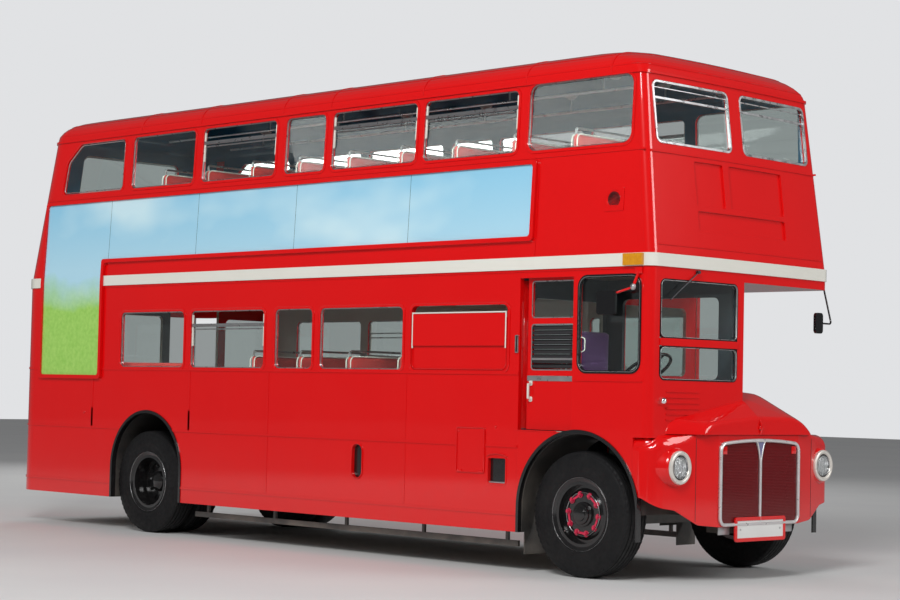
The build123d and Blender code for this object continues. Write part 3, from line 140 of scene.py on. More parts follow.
def vector_maths(tree, operation, a, b=(0, 0, 0)):
    return put(tree, "VectorMath", {0: a, 1: b}, operation=operation).outputs[0]


def blend_colour(tree, mask, a, b):
    """Colour a where the mask is 0 and colour b where it is 1."""
    return put(tree, "Mix", {"Factor": mask, 6: a, 7: b}, data_type="RGBA").outputs[2]


def bump(tree, height, strength, distance, normal=None):
    """A normal that rises and falls with a height."""
    inputs = {"Strength": strength, "Distance": distance, "Height": height}
    if normal:
        inputs["Normal"] = normal
    return put(tree, "Bump", inputs).outputs[0]


def build_surface_group():
    """Rounded edges, slow waves of beaten panels and a fine grain, as one normal."""
    sockets = [("Edge", "Float", 0.004), ("Wave", "Float", 0.3), ("Wave size", "Float", 1.2),
               ("Grain", "Float", 0.1), ("Grain size", "Float", 90.0)]
    t, i, o = group("surface", sockets, [("Normal", "Vector")])
    at = object_place(t)
    edge = put(t, "Bevel", {"Radius": i["Edge"]}, samples=4).outputs[0]
    wave = put(t, "TexNoise", {"Vector": at, "Scale": i["Wave size"], "Detail": 2.0}).outputs["Fac"]
    grain = put(t, "TexNoise", {"Vector": at, "Scale": i["Grain size"], "Detail": 3.0}).outputs["Fac"]
    big = bump(t, wave, i["Wave"], 0.02, edge)
    t.links.new(bump(t, grain, i["Grain"], 0.002, big), o["Normal"])


def masked_group(name, sockets, make_mask, other):
    """A group that blends Color into another colour by a mask, and puts out both."""
    t, i, o = group(name, [("Color", "Color", None)] + sockets, [("Color", "Color"), ("Mask", "Float")])
    mask = maths(t, "MULTIPLY", make_mask(t, i, object_place(t)), i["Amount"])
    t.links.new(blend_colour(t, mask, i["Color"], i[other]), o["Color"])
    t.links.new(mask, o["Mask"])


def dust_mask(t, i, at):
    """Road dust that thins out with height, gathered by noise."""
    low = ramp(t, along(t, at, "Z"), 0.0, i["Height"], 1.0, 0.0)
    return maths(t, "MULTIPLY", low, ramp(t, noise(t, at, 3.0, 6.0), 0.3, 0.75))


def wear_mask(t, i, at):
    """Edges where the finish has rubbed through, broken up by noise."""
    flat = put(t, "NewGeometry").outputs["Normal"]
    rounded = put(t, "Bevel", {"Radius": i["Width"]}, samples=4).outputs[0]
    dot = put(t, "VectorMath", {0: flat, 1: rounded}, operation="DOT_PRODUCT").outputs["Value"]
    return maths(t, "MULTIPLY", ramp(t, dot, 0.97, 0.75), ramp(t, noise(t, at, 45.0, 5.0), 0.45, 0.6))


def fading_mask(t, i, at):
    """Small changes of a colour over a surface: slow fading and rain streaks."""
    cloud = ramp(t, noise(t, at, 0.9, 5.0), 0.35, 0.7)
    return maths(t, "MAXIMUM", cloud, ramp(t, noise(t, at, 6.0, 3.0, 0.5, (1.0, 1.0, 0.08)), 0.5, 0.8))


def build_inside_group():
    """A mask of the faces that look into the bus: their normal points back at the middle of the body."""
    sockets = [("Ways", "Vector", (0, 1, 0)), ("Centre", "Vector", (0, 0, 0))]
    t, i, o = group("inside", sockets, [("Mask", "Float")])
    away = vector_maths(t, "SUBTRACT", object_place(t), i["Centre"])
    ways = vector_maths(t, "MULTIPLY", vector_maths(t, "SIGN", away), i["Ways"])
    face = put(t, "NewGeometry").outputs["Normal"]
    dot = put(t, "VectorMath", {0: ways, 1: face}, operation="DOT_PRODUCT").outputs["Value"]
    t.links.new(maths(t, "LESS_THAN", dot, -0.4), o["Mask"])


build_surface_group()
masked_group("dust", [("Dust", "Color", (0.2, 0.17, 0.14, 1)), ("Height", "Float", 0.9),
                      ("Amount", "Float", 0.5)], dust_mask, "Dust")
masked_group("edge_wear", [("Bare", "Color", (0.3, 0.3, 0.3, 1)), ("Width", "Float", 0.004),
                           ("Amount", "Float", 0.5)], wear_mask, "Bare")
masked_group("fading", [("Faded", "Color", None), ("Amount", "Float", 0.3)], fading_mask, "Faded")
build_inside_group()


# Materials

COAT_ROUGH = 0.05


def material(name, rough, metallic=0.0, **more):
    """A principled material, its tree and its shader, with more of the shader's inputs by name."""
    m = bpy.data.materials.new(name)
    m.use_nodes = True
    t = m.node_tree
    shader = t.nodes["Principled BSDF"]
    set_inputs(t, shader, {"Roughness": rough, "Metallic": metallic, "Coat Roughness": COAT_ROUGH})
    set_inputs(t, shader, {key.replace("_", " "): value for key, value in more.items()})
    return m, t, shader


def skin(tree, edge, wave, grain, wave_size=1.2, grain_size=90.0):
    """The normal of a surface with rounded edges, slow waves and a fine grain."""
    inputs = {"Edge": edge, "Wave": wave, "Wave size": wave_size, "Grain": grain, "Grain size": grain_size}
    return use(tree, "surface", inputs)["Normal"]


def enamel(name, colour, faded, inside=None, ways=(0, 1, 0), centre=(0, 0, 0), wave=0.25, dust=0.55,
           open_y=None):
    """Brushed coach enamel with fading, road dust low down and, where asked, another colour indoors, which
    for the cab is a painted shade.

    From open_y on to the nearside there is no cab: what looks inward there is red, as the outside is.
    """
    m, t, shader = material(name, 0.3, Coat_Weight=1.0, Coat_Roughness=0.03, Specular_IOR_Level=0.12)
    colour = use(t, "fading", {"Color": colour, "Faded": faded, "Amount": 0.35})["Color"]
    if inside:
        mask = use(t, "inside", {"Ways": ways, "Centre": centre})["Mask"]
        if open_y is not None:
            past = maths(t, "GREATER_THAN", along(t, object_place(t), "Y"), open_y)
            inside = blend_colour(t, past, inside, RED)
        colour = blend_colour(t, mask, colour, inside)
    dirty = use(t, "dust", {"Color": colour, "Height": 0.8, "Amount": dust})
    set_inputs(t, shader, {"Base Color": dirty["Color"],
                           "Roughness": ramp(t, dirty["Mask"], 0.0, 0.6, 0.3, 0.6),
                           "Coat Weight": ramp(t, dirty["Mask"], 0.0, 0.5, 1.0, 0.2),
                           "Normal": skin(t, 0.005, wave, 0.04, 1.6, 60.0)})
    return m


def metal(name, colour, bare, rough, metallic=1.0, wear=0.4, dust=0.3):
    """Bright or cast metal with rubbed edges and a little dirt."""
    m, t, shader = material(name, rough, metallic)
    worn = use(t, "edge_wear", {"Color": colour, "Bare": bare, "Width": 0.003, "Amount": wear})
    dirty = use(t, "dust", {"Color": worn["Color"], "Height": 1.0, "Amount": dust})
    patchy = ramp(t, noise(t, object_place(t), 14.0, 5.0), 0.3, 0.7, rough * 0.8, rough * 1.5)
    set_inputs(t, shader, {"Base Color": dirty["Color"], "Roughness": patchy,
                           "Normal": skin(t, 0.002, 0.1, 0.15)})
    return m


def black_paint(name, colour, bare, rough, wear, dust):
    """Painted iron under the floor and on the wheels."""
    m, t, shader = material(name, rough, Coat_Weight=0.5)
    worn = use(t, "edge_wear", {"Color": colour, "Bare": bare, "Width": 0.004, "Amount": wear})
    dirty = use(t, "dust", {"Color": worn["Color"], "Height": 1.3, "Amount": dust})
    set_inputs(t, shader, {"Base Color": dirty["Color"],
                           "Roughness": ramp(t, dirty["Mask"], 0.0, 0.7, rough, 0.8),
                           "Normal": skin(t, 0.003, 0.1, 0.25, grain_size=160.0)})
    return m


def rubber(name, colour, dust):
    """Worn black rubber, greyed by dust."""
    m, t, shader = material(name, 0.65, Specular_IOR_Level=0.3)
    at = object_place(t)
    patches = ramp(t, noise(t, at, 9.0, 6.0), 0.35, 0.7, 0.0, 0.5)
    aged = blend_colour(t, patches, colour, (0.014, 0.014, 0.014, 1))
    dirty = use(t, "dust", {"Color": aged, "Dust": (0.12, 0.105, 0.09, 1), "Height": 1.4, "Amount": dust})
    set_inputs(t, shader, {"Base Color": dirty["Color"],
                           "Roughness": ramp(t, noise(t, at, 30.0, 4.0), 0.3, 0.7, 0.5, 0.8),
                           "Normal": skin(t, 0.003, 0.05, 0.3, grain_size=250.0)})
    return m


def glass(name, tint):
    """Clear safety glass with a faint film of dust, which lets the light of the lamps through."""
    m, t, shader = material(name, 0.02, Base_Color=tint, Transmission_Weight=1.0, IOR=1.45)
    film = ramp(t, noise(t, object_place(t), 5.0, 6.0), 0.45, 0.8, 0.0, 0.06)
    set_inputs(t, shader, {"Roughness": film, "Normal": skin(t, 0.0, 0.06, 0.0, 1.1)})
    clear = put(t, "BsdfTransparent", {"Color": tint}).outputs[0]
    shadow = put(t, "LightPath").outputs["Is Shadow Ray"]
    mix = put(t, "MixShader", {0: shadow, 1: shader.outputs[0], 2: clear})
    t.links.new(mix.outputs[0], t.nodes["Material Output"].inputs["Surface"])
    return m


def moquette(name, colour, thread, yarns=700 / 6):
    """Woven seat cloth: fine checks of two yarns with a soft sheen."""
    m, t, shader = material(name, 0.85, Sheen_Weight=0.4, Sheen_Roughness=0.4)
    at = object_place(t)
    threads = [put(t, "TexWave", {"Vector": at, "Scale": yarns}, wave_type="BANDS",
                   bands_direction=way).outputs["Fac"] for way in ("Y", "DIAGONAL")]
    weave = maths(t, "MULTIPLY", *threads)
    rubbed = ramp(t, noise(t, at, 4.0, 5.0), 0.4, 0.8, 0.0, 0.5)
    mixed = blend_colour(t, maths(t, "MAXIMUM", weave, rubbed), colour, thread)
    set_inputs(t, shader, {"Base Color": mixed, "Normal": bump(t, weave, 0.4, 0.001)})
    return m


def slatted(name, colour, dark, pitch):
    """Varnished floor slats along the bus, with dirt in their grooves."""
    m, t, shader = material(name, 0.5)
    at = object_place(t)
    phase = maths(t, "FRACT", maths(t, "MULTIPLY", along(t, at, "Y"), 1.0 / pitch))
    groove = maths(t, "LESS_THAN", phase, 0.25)
    grain = ramp(t, noise(t, at, 30.0, 6.0, 0.6, (0.1, 1.0, 1.0)), 0.3, 0.7)
    wood = blend_colour(t, grain, colour, (colour[0] * 0.6, colour[1] * 0.55, colour[2] * 0.5, 1))
    low = maths(t, "SUBTRACT", 1.0, groove)
    set_inputs(t, shader, {"Base Color": blend_colour(t, groove, wood, dark),
                           "Normal": bump(t, low, 0.6, 0.004)})
    return m


def board_vinyl(name):
    """Advertising vinyl: a plain sky fading to haze, and a soft green foot on the tall panel."""
    m, t, shader = material(name, 0.3, Coat_Weight=0.3)
    at = object_place(t)
    z = along(t, at, "Z")
    haze = ramp(t, noise(t, at, 0.8, 3.0, 0.5, (0.7, 1.0, 1.4)), 0.42, 0.7)
    pale = maths(t, "MAXIMUM", haze, ramp(t, z, 3.5, 2.7, 0.0, 0.55))
    sky = blend_colour(t, pale, (0.26, 0.6, 0.82, 1), (0.62, 0.85, 0.93, 1))
    edge = maths(t, "ADD", z, ramp(t, noise(t, at, 2.0, 2.0), 0.3, 0.7, -0.08, 0.08))
    blades = ramp(t, noise(t, at, 25.0, 4.0), 0.3, 0.7)
    grass = blend_colour(t, blades, (0.3, 0.62, 0.1, 1), (0.42, 0.72, 0.16, 1))
    set_inputs(t, shader, {"Base Color": blend_colour(t, ramp(t, edge, 2.62, 2.3), sky, grass),
                           "Normal": skin(t, 0.003, 0.3, 0.0, 2.2)})
    return m


def ribs(t, value, pitch):
    """Upright ribs across a lens."""
    return maths(t, "PINGPONG", maths(t, "MULTIPLY", value, 1.0 / pitch), 1.0)


def lens(name, colour, pitch=0.012):
    """Moulded lamp plastic with upright ribs."""
    m, t, shader = material(name, 0.18, Coat_Weight=0.6, Transmission_Weight=0.25)
    at = object_place(t)
    rib = ribs(t, maths(t, "ADD", along(t, at, "X"), along(t, at, "Y")), pitch)
    cloud = ramp(t, noise(t, at, 30.0, 3.0), 0.3, 0.7, 0.0, 0.4)
    deep = (colour[0] * 0.7, colour[1] * 0.5, colour[2] * 0.5, 1)
    set_inputs(t, shader, {"Base Color": blend_colour(t, cloud, colour, deep),
                           "Normal": bump(t, rib, 0.6, 0.003)})
    return m


def lamp_glass(name, pitch=0.014):
    """Headlamp glass with upright ribs, over the bright bowl behind it."""
    m, t, shader = material(name, 0.05, Base_Color=(0.93, 0.95, 0.95, 1), Transmission_Weight=0.85)
    at = object_place(t)
    film = ramp(t, noise(t, at, 40.0, 4.0), 0.4, 0.8, 0.03, 0.2)
    rib = ribs(t, along(t, at, "Y"), pitch)
    set_inputs(t, shader, {"Roughness": film, "Normal": bump(t, rib, 0.5, 0.004)})
    return m


def grey(value, blue=0.0):
    """A grey, with a little more or less blue."""
    return (value, value, value + blue, 1)


RED = (0.74, 0.001, 0.002, 1)
RED_FADED = (0.78, 0.005, 0.004, 1)
CREAM = (0.8, 0.79, 0.72, 1)
LINING = (0.75, 0.72, 0.62, 1)
LINING_FADED = (0.68, 0.64, 0.54, 1)
TEAL = (0.01, 0.13, 0.24, 1)
# Painted shade: the dark colour of the faces inside the cab and under its canopy, standing in for the shade
# there
CAB_PAINTED_SHADE = (0.035, 0.045, 0.055, 1)
# Nearside of this line the cab ends and the open bonnet begins
CAB_SIDE_Y = -0.05

FINISH = {
    "red_paint": enamel("red_enamel", RED, RED_FADED, dust=0.1),
    "cream_paint": enamel("cream_enamel", CREAM, (0.7, 0.68, 0.6, 1), dust=0.2),
    "window_glass": glass("window_glass", (0.86, 0.92, 0.9, 1)),
    "tyre_rubber": rubber("tyre_rubber", (0.005, 0.005, 0.006, 1), 0.06),
    "wheel_black": black_paint("wheel_black", grey(0.006, 0.001), grey(0.08), 0.12, 0.2, 0.06),
    "chassis_black": black_paint("chassis_black", grey(0.02), (0.12, 0.08, 0.06, 1), 0.55, 0.5, 0.9),
    "lip_black": black_paint("lip_black", grey(0.007, 0.001), grey(0.06), 0.2, 0.2, 0.08),
    "silver_trim": metal("silver_trim", grey(0.75, 0.01), grey(0.9), 0.28),
    "chrome_trim": metal("chrome_trim", grey(0.85, 0.01), grey(0.9), 0.08, wear=0.1, dust=0.1),
    "mesh_red": enamel("mesh_red", (0.2, 0.004, 0.008, 1), (0.28, 0.01, 0.01, 1), dust=0.3),
    "board_blue": board_vinyl("board_vinyl"),
    "seat_cloth": moquette("seat_cloth", (0.5, 0.012, 0.012, 1), (0.62, 0.05, 0.03, 1)),
    "seat_steel": metal("seat_steel", grey(0.55, 0.01), grey(0.8), 0.35),
    "floor_board": slatted("floor_board", (0.3, 0.22, 0.15, 1), (0.03, 0.025, 0.02, 1), 0.03),
    "inner_panel": enamel("inner_panel", LINING, LINING_FADED, wave=0.1, dust=0.2),
    "engine_grey": black_paint("engine_grey", (0.08, 0.1, 0.09, 1), grey(0.2), 0.6, 0.5, 0.8),
    "lamp_amber": lens("amber_lens", (0.95, 0.42, 0.01, 1)),
    "lamp_red": lens("red_lens", (0.5, 0.01, 0.01, 1)),
    "plate_white": enamel("plate_white", grey(0.8, -0.02), grey(0.7, -0.04), wave=0.05, dust=0.2),
}
UPPER_END_RED = enamel("upper_end_red", RED, RED_FADED, TEAL, (1, 0, 0))
PURPLE_CLOTH = moquette("purple_cloth", (0.09, 0.02, 0.13, 1), (0.14, 0.05, 0.2, 1))
POINTER_PINK = enamel("pointer_pink", (0.6, 0.012, 0.06, 1), (0.66, 0.03, 0.09, 1), wave=0.0, dust=0.05)

# Nodes and new pieces whose finish isn't that of their slot
NODE_FINISH = {
    "lower_sides": enamel("side_red", RED, RED_FADED, LINING, (0, 1, 0), wave=0.5, dust=0.08),
    "upper_sides": enamel("upper_side_red", RED, RED_FADED, TEAL, (0, 1, 0), wave=0.45),
    "upper_front": UPPER_END_RED,
    "upper_rear": UPPER_END_RED,
    "roof": enamel("roof_red", RED, RED_FADED, TEAL, (0.35, 0.6, 0.8), (0, 0, 4.0)),
    # The cab's inner faces and the underside of its canopy get painted shade
    "cab_shell": enamel("cab_red_with_painted_shade", RED, RED_FADED, CAB_PAINTED_SHADE, (1, 1, 0.5), (FRONT_AXLE_X + 0.1, -0.62, 1.95),
                        wave=0.4, open_y=CAB_SIDE_Y),
    # The bulkheads' faces towards the cab get painted shade; their other faces are lining
    "bulkheads": enamel("bulkhead_lining_with_painted_shade", LINING, LINING_FADED, CAB_PAINTED_SHADE, (1, 0, 0),
                        (FRONT_AXLE_X - 0.45, 0, 0), open_y=CAB_SIDE_Y),
    "wipers": metal("wiper_steel", grey(0.1, 0.01), grey(0.3), 0.35),
    "driver_seat_pads": PURPLE_CLOTH,
    "lamp_glass": lamp_glass("headlamp_glass"),
}
PIECE_FINISH = {
    "door_slats": metal("slat_grey", grey(0.035, 0.003), grey(0.12), 0.4, 0.3, wear=0.3, dust=0.1),
    "nut_pointers_offside": POINTER_PINK,
    "nut_pointers_nearside": POINTER_PINK,
    "grille_tube": metal("grille_silver", (0.74, 0.72, 0.72, 1), (0.9, 0.88, 0.86, 1), 0.3, 0.6, 0.2, 0.1),
    "headlamp_rims": metal("headlamp_rim_pale", (0.78, 0.74, 0.68, 1), (0.9, 0.88, 0.84, 1), 0.3, 0.45,
                           0.2, 0.1),
    "grille_badge_blank": enamel("badge_enamel", (0.16, 0.16, 0.3, 1), (0.3, 0.28, 0.42, 1), wave=0.0,
                                 dust=0.0),
    "driver_seat_padded": PURPLE_CLOTH,
}
for part in frame["record"]["subparts"]:
    materials = NODES[part["node"]].data.materials
    materials.clear()
    materials.append(NODE_FINISH.get(part["node"], FINISH[part["material_slot"]]))


# Places and sizes shared by the pieces, in metres

# A hundredth of the wheelbase
BAY = (FRONT_AXLE_X - REAR_AXLE_X) / 100
REAR_SEAM_X = FRONT_AXLE_X - 7.85
FRONT_RAKE = 0.19
REAR_RAKE = 0.3
FRONT_FACE_X = FRONT_AXLE_X + 0.79
REAR_FACE_X = FRONT_AXLE_X - 8.16
BOW = 0.03
INNER = 1.174
DROP = 0.135
SILL = 1.68
HEAD = 2.24
UPPER_SILL = 3.53
UPPER_HEAD = 4.065
WINDOW_R = 0.055
SIGN_FACE = 0.004
SIGN_BACK = SIGN_FACE - 0.002
TRACK_Y = 1.03
TWIN_STEP = 0.295
# How far trim is let into the skin that it lies on, and frames into a window's opening
LET_IN = -0.001
IN_OPENING = -0.0195

# Side windows: rear and front end in hundredths of the wheelbase behind the front axle, and kind
LOWER_SPANS = [(107.5, 89.44, "fixed"), (87.47, 68.13, "drop"), (65.39, 56.23, "fixed"),
               (54.35, 35.35, "fixed"), (33.46, 13.44, "sign")]
UPPER_SPANS = [(106.98, 89.18, "fixed"), (86.96, 67.61, "drop"), (65.22, 55.46, "fixed"),
               (53.75, 34.41, "drop"), (32.78, 13.27, "drop"), (11.13, -8.35, "front")]


def up_share(z):
    """How far up the upper deck a height is: 0 at the deck, 1 at the gutter."""
    return max(0.0, (z - DECK_Z) / (GUTTER_Z - DECK_Z))


def side_skin(z):
    """Half width of the body at a height."""
    return HALF - TUMBLE_IN * up_share(z)


def offside(u, v, w):
    """A point w proud of the offside, u along the bus and v up."""
    return Vector((u, -side_skin(v) - w, v))


def nearside(u, v, w):
    return Vector((u, side_skin(v) + w, v))


def front(u, v, w):
    """A point w proud of the bowed front, u across the bus and v up."""
    return Vector((FRONT_FACE_X - FRONT_RAKE * up_share(v) - BOW * (u / INNER) ** 2 + w, u, v))


def rear(u, v, w):
    return Vector((REAR_FACE_X + REAR_RAKE * up_share(v) - w, u, v))


def across(x):
    """A flat face across the bus at a place along it."""
    return lambda u, v, w: Vector((x + w, u, v))


# Making pieces


def add_to(bm, made):
    """Join a finished bmesh to a piece."""
    mesh = bpy.data.meshes.new("made")
    made.to_mesh(mesh)
    made.free()
    bm.from_mesh(mesh)
    bpy.data.meshes.remove(mesh)


def only_verts(geom):
    """The points among mixed points, edges and faces."""
    return [g for g in geom if isinstance(g, bmesh.types.BMVert)]


def bevel(bm, affect, radius, segments):
    """Round all corners or all edges of a bmesh."""
    geom = bm.verts[:] if affect == "VERTICES" else bm.edges[:]
    bmesh.ops.bevel(bm, geom=geom, offset=radius, offset_type="OFFSET", affect=affect,
                    segments=segments, profile=0.5, material=-1)


def extrude(bm):
    """Extrude all the faces of a bmesh, and return the new points."""
    return only_verts(bmesh.ops.extrude_face_region(bm, geom=bm.faces[:], use_keep_orig=True)["geom"])


def cut(bm, point, way, clear=False):
    """Cut a bmesh along a plane, and clear what lies behind the plane where asked."""
    geom = bm.verts[:] + bm.edges[:] + bm.faces[:]
    bmesh.ops.bisect_plane(bm, geom=geom, dist=1e-5, plane_co=point, plane_no=way, clear_inner=clear)


def box_corners(box):
    """The four corners of a box on a face, in order."""
    u0, u1, v0, v1 = box
    return (u0, v0), (u1, v0), (u1, v1), (u0, v1)


def grown(box, by):
    """A box on a face of the bus, moved out by the same all round."""
    u0, u1, v0, v1 = box
    return (u0 - by, u1 + by, v0 - by, v1 + by)


def flat_face(corners, radius, segments=6):
    """A bmesh with one flat face in X and Z, its corners rounded."""
    made = bmesh.new()
    made.faces.new([made.verts.new((u, 0.0, v)) for u, v in corners])
    if radius:
        bevel(made, "VERTICES", radius, segments)
    return made


def outline(corners, radius, segments=6):
    """The points round a flat shape with rounded corners."""
    made = flat_face(corners, radius, segments)
    made.faces.ensure_lookup_table()
    points = [v.co.xz for v in made.faces[0].verts]
    made.free()
    return points


def rounded_line(box, radius, onto, depth, segments=6):
    """The points round a rectangle with rounded corners, laid on the skin."""
    return [onto(u, v, depth) for u, v in outline(box_corners(box), radius, segments)]


def panel(bm, onto, box, radius, back, proud, width=0.0, cuts=0):
    """A plate, or with a width a frame, laid on the skin from depth back to proud."""
    made = flat_face(box_corners(box), radius)
    if width:
        rim = bmesh.ops.inset_region(made, faces=made.faces[:], thickness=width, use_even_offset=True,
                                     use_boundary=True)["faces"]
        middle = [f for f in made.faces if f not in rim]
        bmesh.ops.delete(made, geom=middle, context="FACES_ONLY")
    if cuts:
        long_edges = [e for e in made.edges if abs(e.verts[0].co.x - e.verts[1].co.x) > 0.1]
        bmesh.ops.subdivide_edges(made, edges=long_edges, cuts=cuts, use_grid_fill=True)
    bmesh.ops.translate(made, vec=(0, proud - back, 0), verts=extrude(made))
    for v in made.verts:
        v.co = onto(v.co.x, v.co.z, back + v.co.y)
    add_to(bm, made)


def block(bm, low, high, round_by=0.0, segments=2, place=None):
    """A block between two corners, with rounded edges."""
    made = bmesh.new()
    bmesh.ops.create_cube(made, size=1.0)
    bmesh.ops.scale(made, vec=[b - a for a, b in zip(low, high)], verts=made.verts)
    bmesh.ops.translate(made, vec=[(a + b) / 2 for a, b in zip(low, high)], verts=made.verts)
    if round_by:
        bevel(made, "EDGES", round_by, segments)
    if place:
        bmesh.ops.transform(made, matrix=place, verts=made.verts)
    add_to(bm, made)


def spun(bm, section, place, steps=64, closed=True):
    """Spin a half section of distance along Y and radius, and put it at a place."""
    made = bmesh.new()
    verts = [made.verts.new((0.0, y, r)) for y, r in section]
    pairs = list(zip(verts, verts[1:]))
    if closed:
        pairs.append((verts[-1], verts[0]))
    edges = [made.edges.new(pair) for pair in pairs]
    bmesh.ops.spin(made, geom=verts + edges, cent=(0, 0, 0), axis=(0, 1, 0), angle=math.tau,
                   steps=steps, use_merge=True)
    bmesh.ops.remove_doubles(made, verts=made.verts, dist=1e-6)
    bmesh.ops.transform(made, matrix=place, verts=made.verts)
    add_to(bm, made)


def outward(x, y, z):
    """A place for spun pieces whose axis points out of the side of the bus that they are on."""
    place = Matrix.Translation((x, y, z))
    return place if y > 0 else place @ Matrix.Rotation(math.pi, 4, "Z")


def turned_forward(x, y, z):
    """A place for spun pieces whose axis points forward."""
    return Matrix.Translation((x, y, z)) @ Matrix.Rotation(-math.pi / 2, 4, "Z")


def tube(bm, points, radius, closed=False, smooth=1):
    """A round bar along a line of points."""
    curve = bpy.data.curves.new("bar", "CURVE")
    curve.dimensions = "3D"
    curve.bevel_depth = radius
    curve.bevel_resolution = smooth
    curve.use_fill_caps = not closed
    line = curve.splines.new("POLY")
    line.points.add(len(points) - 1)
    for p, at in zip(line.points, points):
        p.co = (*at, 1.0)
    line.use_cyclic_u = closed
    holder = bpy.data.objects.new("bar", curve)
    mesh = bpy.data.meshes.new_from_object(holder)
    bm.from_mesh(mesh)
    bpy.data.objects.remove(holder)
    bpy.data.curves.remove(curve)
    bpy.data.meshes.remove(mesh)


def linked_object(name, bm):
    """Write a bmesh to a new object of the scene."""
    mesh = bpy.data.meshes.new(name)
    bm.to_mesh(mesh)
    bm.free()
    made = bpy.data.objects.new(name, mesh)
    bpy.context.collection.objects.link(made)
    return made


def evaluated_mesh(made):
    """A new mesh of an object as its modifiers leave it."""
    done = made.evaluated_get(bpy.context.evaluated_depsgraph_get())
    return bpy.data.meshes.new_from_object(done)


def remesh(made, grid):
    """Let an object be remeshed on a grid of voxels."""
    voxels = made.modifiers.new("voxels", "REMESH")
    voxels.mode = "VOXEL"
    voxels.voxel_size = grid


def finish_piece(bm, name, slot, body="bus", sharp=35):
    """Merge and turn the faces out, write the mesh, and let the piece ride on a body."""
    bmesh.ops.remove_doubles(bm, verts=bm.verts, dist=1e-6)
    bmesh.ops.recalc_face_normals(bm, faces=bm.faces)
    piece = linked_object(name, bm)
    piece.data.materials.append(PIECE_FINISH.get(name, FINISH[slot]))
    piece.data.shade_smooth()
    piece.data.set_sharp_from_angle(angle=math.radians(sharp))
    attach(piece, body)
    return piece


# Windows

SURROUND = 0.022


def window_table():
    """Every side window: its box on the skin, kind, corner radius and side."""
    rows = []
    for side in (offside, nearside):
        for spans, low, high in ((LOWER_SPANS, SILL, HEAD), (UPPER_SPANS, UPPER_SILL, UPPER_HEAD)):
            for a, b, kind in spans:
                if kind == "sign" and side is nearside:
                    kind = "fixed"
                top, radius = (high + 0.03, 0.085) if kind == "front" else (high, WINDOW_R)
                rows.append(((FRONT_AXLE_X - a * BAY, FRONT_AXLE_X - b * BAY, low, top), kind, radius, side))
    return rows


def build_window_surrounds():
    """Pressed red surrounds round the side windows, and a thin bright line at the edge of the glass."""
    red = bmesh.new()
    line = bmesh.new()
    for box, kind, radius, side in window_table():
        x0, x1, z0, z1 = box
        rim = grown(box, SURROUND)
        panel(red, side, rim, radius + SURROUND, LET_IN, 0.005, SURROUND)
        tube(red, rounded_line(rim, radius + SURROUND, side, 0.003), 0.0045, closed=True)
        if kind == "sign":
            board = (x0 + 0.028, x1 - 0.028, z0 + 0.21, z1 - 0.072)
            panel(red, side, board, 0.004, SIGN_BACK, SIGN_FACE + 0.007)
            edge = (x0 + 0.012, x1 - 0.012, z0 + 0.012, z1 - 0.074)
            tube(red, rounded_line(edge, 0.05, side, SIGN_FACE), 0.0035, closed=True)
        else:
            panel(line, side, grown(box, -0.001), radius, IN_OPENING, -0.004, 0.008)
    finish_piece(red, "window_surrounds", "red_paint")
    finish_piece(line, "window_lines", "silver_trim")


def build_drop_rails():
    """White side rails and two bars on the windows that open, and white rails round the sign board."""
    white = bmesh.new()
    bars = bmesh.new()
    for (x0, x1, z0, z1), kind, _, side in window_table():
        if kind == "drop":
            low = z1 - 0.62 * (z1 - z0)
            bar = z1 - DROP
            for x in (x0 + 0.009, x1 - 0.025):
                panel(white, side, (x, x + 0.016, low, z1 - 0.04), 0.003, IN_OPENING, -0.006)
            panel(bars, side, (x0 + 0.02, x1 - 0.02, bar - 0.052, bar - 0.040), 0.002, IN_OPENING, -0.010)
            panel(bars, side, (x0 + 0.01, x1 - 0.01, bar - 0.004, bar + 0.008), 0.002, IN_OPENING, -0.002)
        if kind == "sign":
            for x in (x0 + 0.012, x1 - 0.026):
                panel(white, side, (x, x + 0.014, z0 + 0.19, z1 - 0.055), 0.003, SIGN_BACK, SIGN_FACE + 0.004)
            top = (x0 + 0.012, x1 - 0.012, z1 - 0.068, z1 - 0.056)
            panel(white, side, top, 0.003, SIGN_BACK, SIGN_FACE + 0.003)
    finish_piece(white, "drop_side_rails", "cream_paint")
    finish_piece(bars, "drop_bars", "silver_trim")


def build_quarter_lines():
    """Surround and bright line of the raked quarter windows behind the rear axle."""
    line = bmesh.new()
    red = bmesh.new()
    x0 = REAR_SEAM_X + 0.36
    x1 = REAR_SEAM_X + 1.43
    low = UPPER_SILL + 0.015
    high = UPPER_HEAD - 0.015
    corners = [(x0 + 0.02, low), (x1, low), (x1, high), (x0 + 0.30, high), (x0 + 0.075, high - 0.18)]
    loop = outline(corners, 0.04, 5)
    middle = sum(loop, Vector((0, 0))) / len(loop)
    for side in (offside, nearside):
        tube(line, [side(*p, -0.012) for p in loop], 0.005, closed=True)
        tube(red, [side(*(middle + (p - middle) * 1.075), 0.0) for p in loop], 0.006, closed=True)
    finish_piece(line, "quarter_lines", "silver_trim")
    finish_piece(red, "quarter_surrounds", "red_paint")


def build_front_windows():
    """Silver frames and top bars of the two upper front windows, and frames of the windows at the back."""
    bm = bmesh.new()
    for y0, y1 in ((0.075, 1.045), (-1.045, -0.075)):
        frame_box = (y0 + 0.002, y1 - 0.002, UPPER_SILL, UPPER_HEAD - 0.017)
        panel(bm, front, frame_box, 0.058, IN_OPENING, 0.003, 0.018, 6)
        for low, high, proud in ((3.895, 3.913, -0.004), (3.985, 3.993, -0.010)):
            panel(bm, front, (y0 + 0.012, y1 - 0.012, low, high), 0.002, IN_OPENING, proud, cuts=6)
    panel(bm, rear, (-0.658, 0.658, GUTTER_Z - 0.688, GUTTER_Z - 0.082), 0.078, IN_OPENING, 0.003, 0.018)
    panel(bm, rear, (-0.928, -0.252, 1.502, 2.148), 0.058, IN_OPENING, 0.003, 0.014)
    finish_piece(bm, "front_window_frames", "silver_trim")


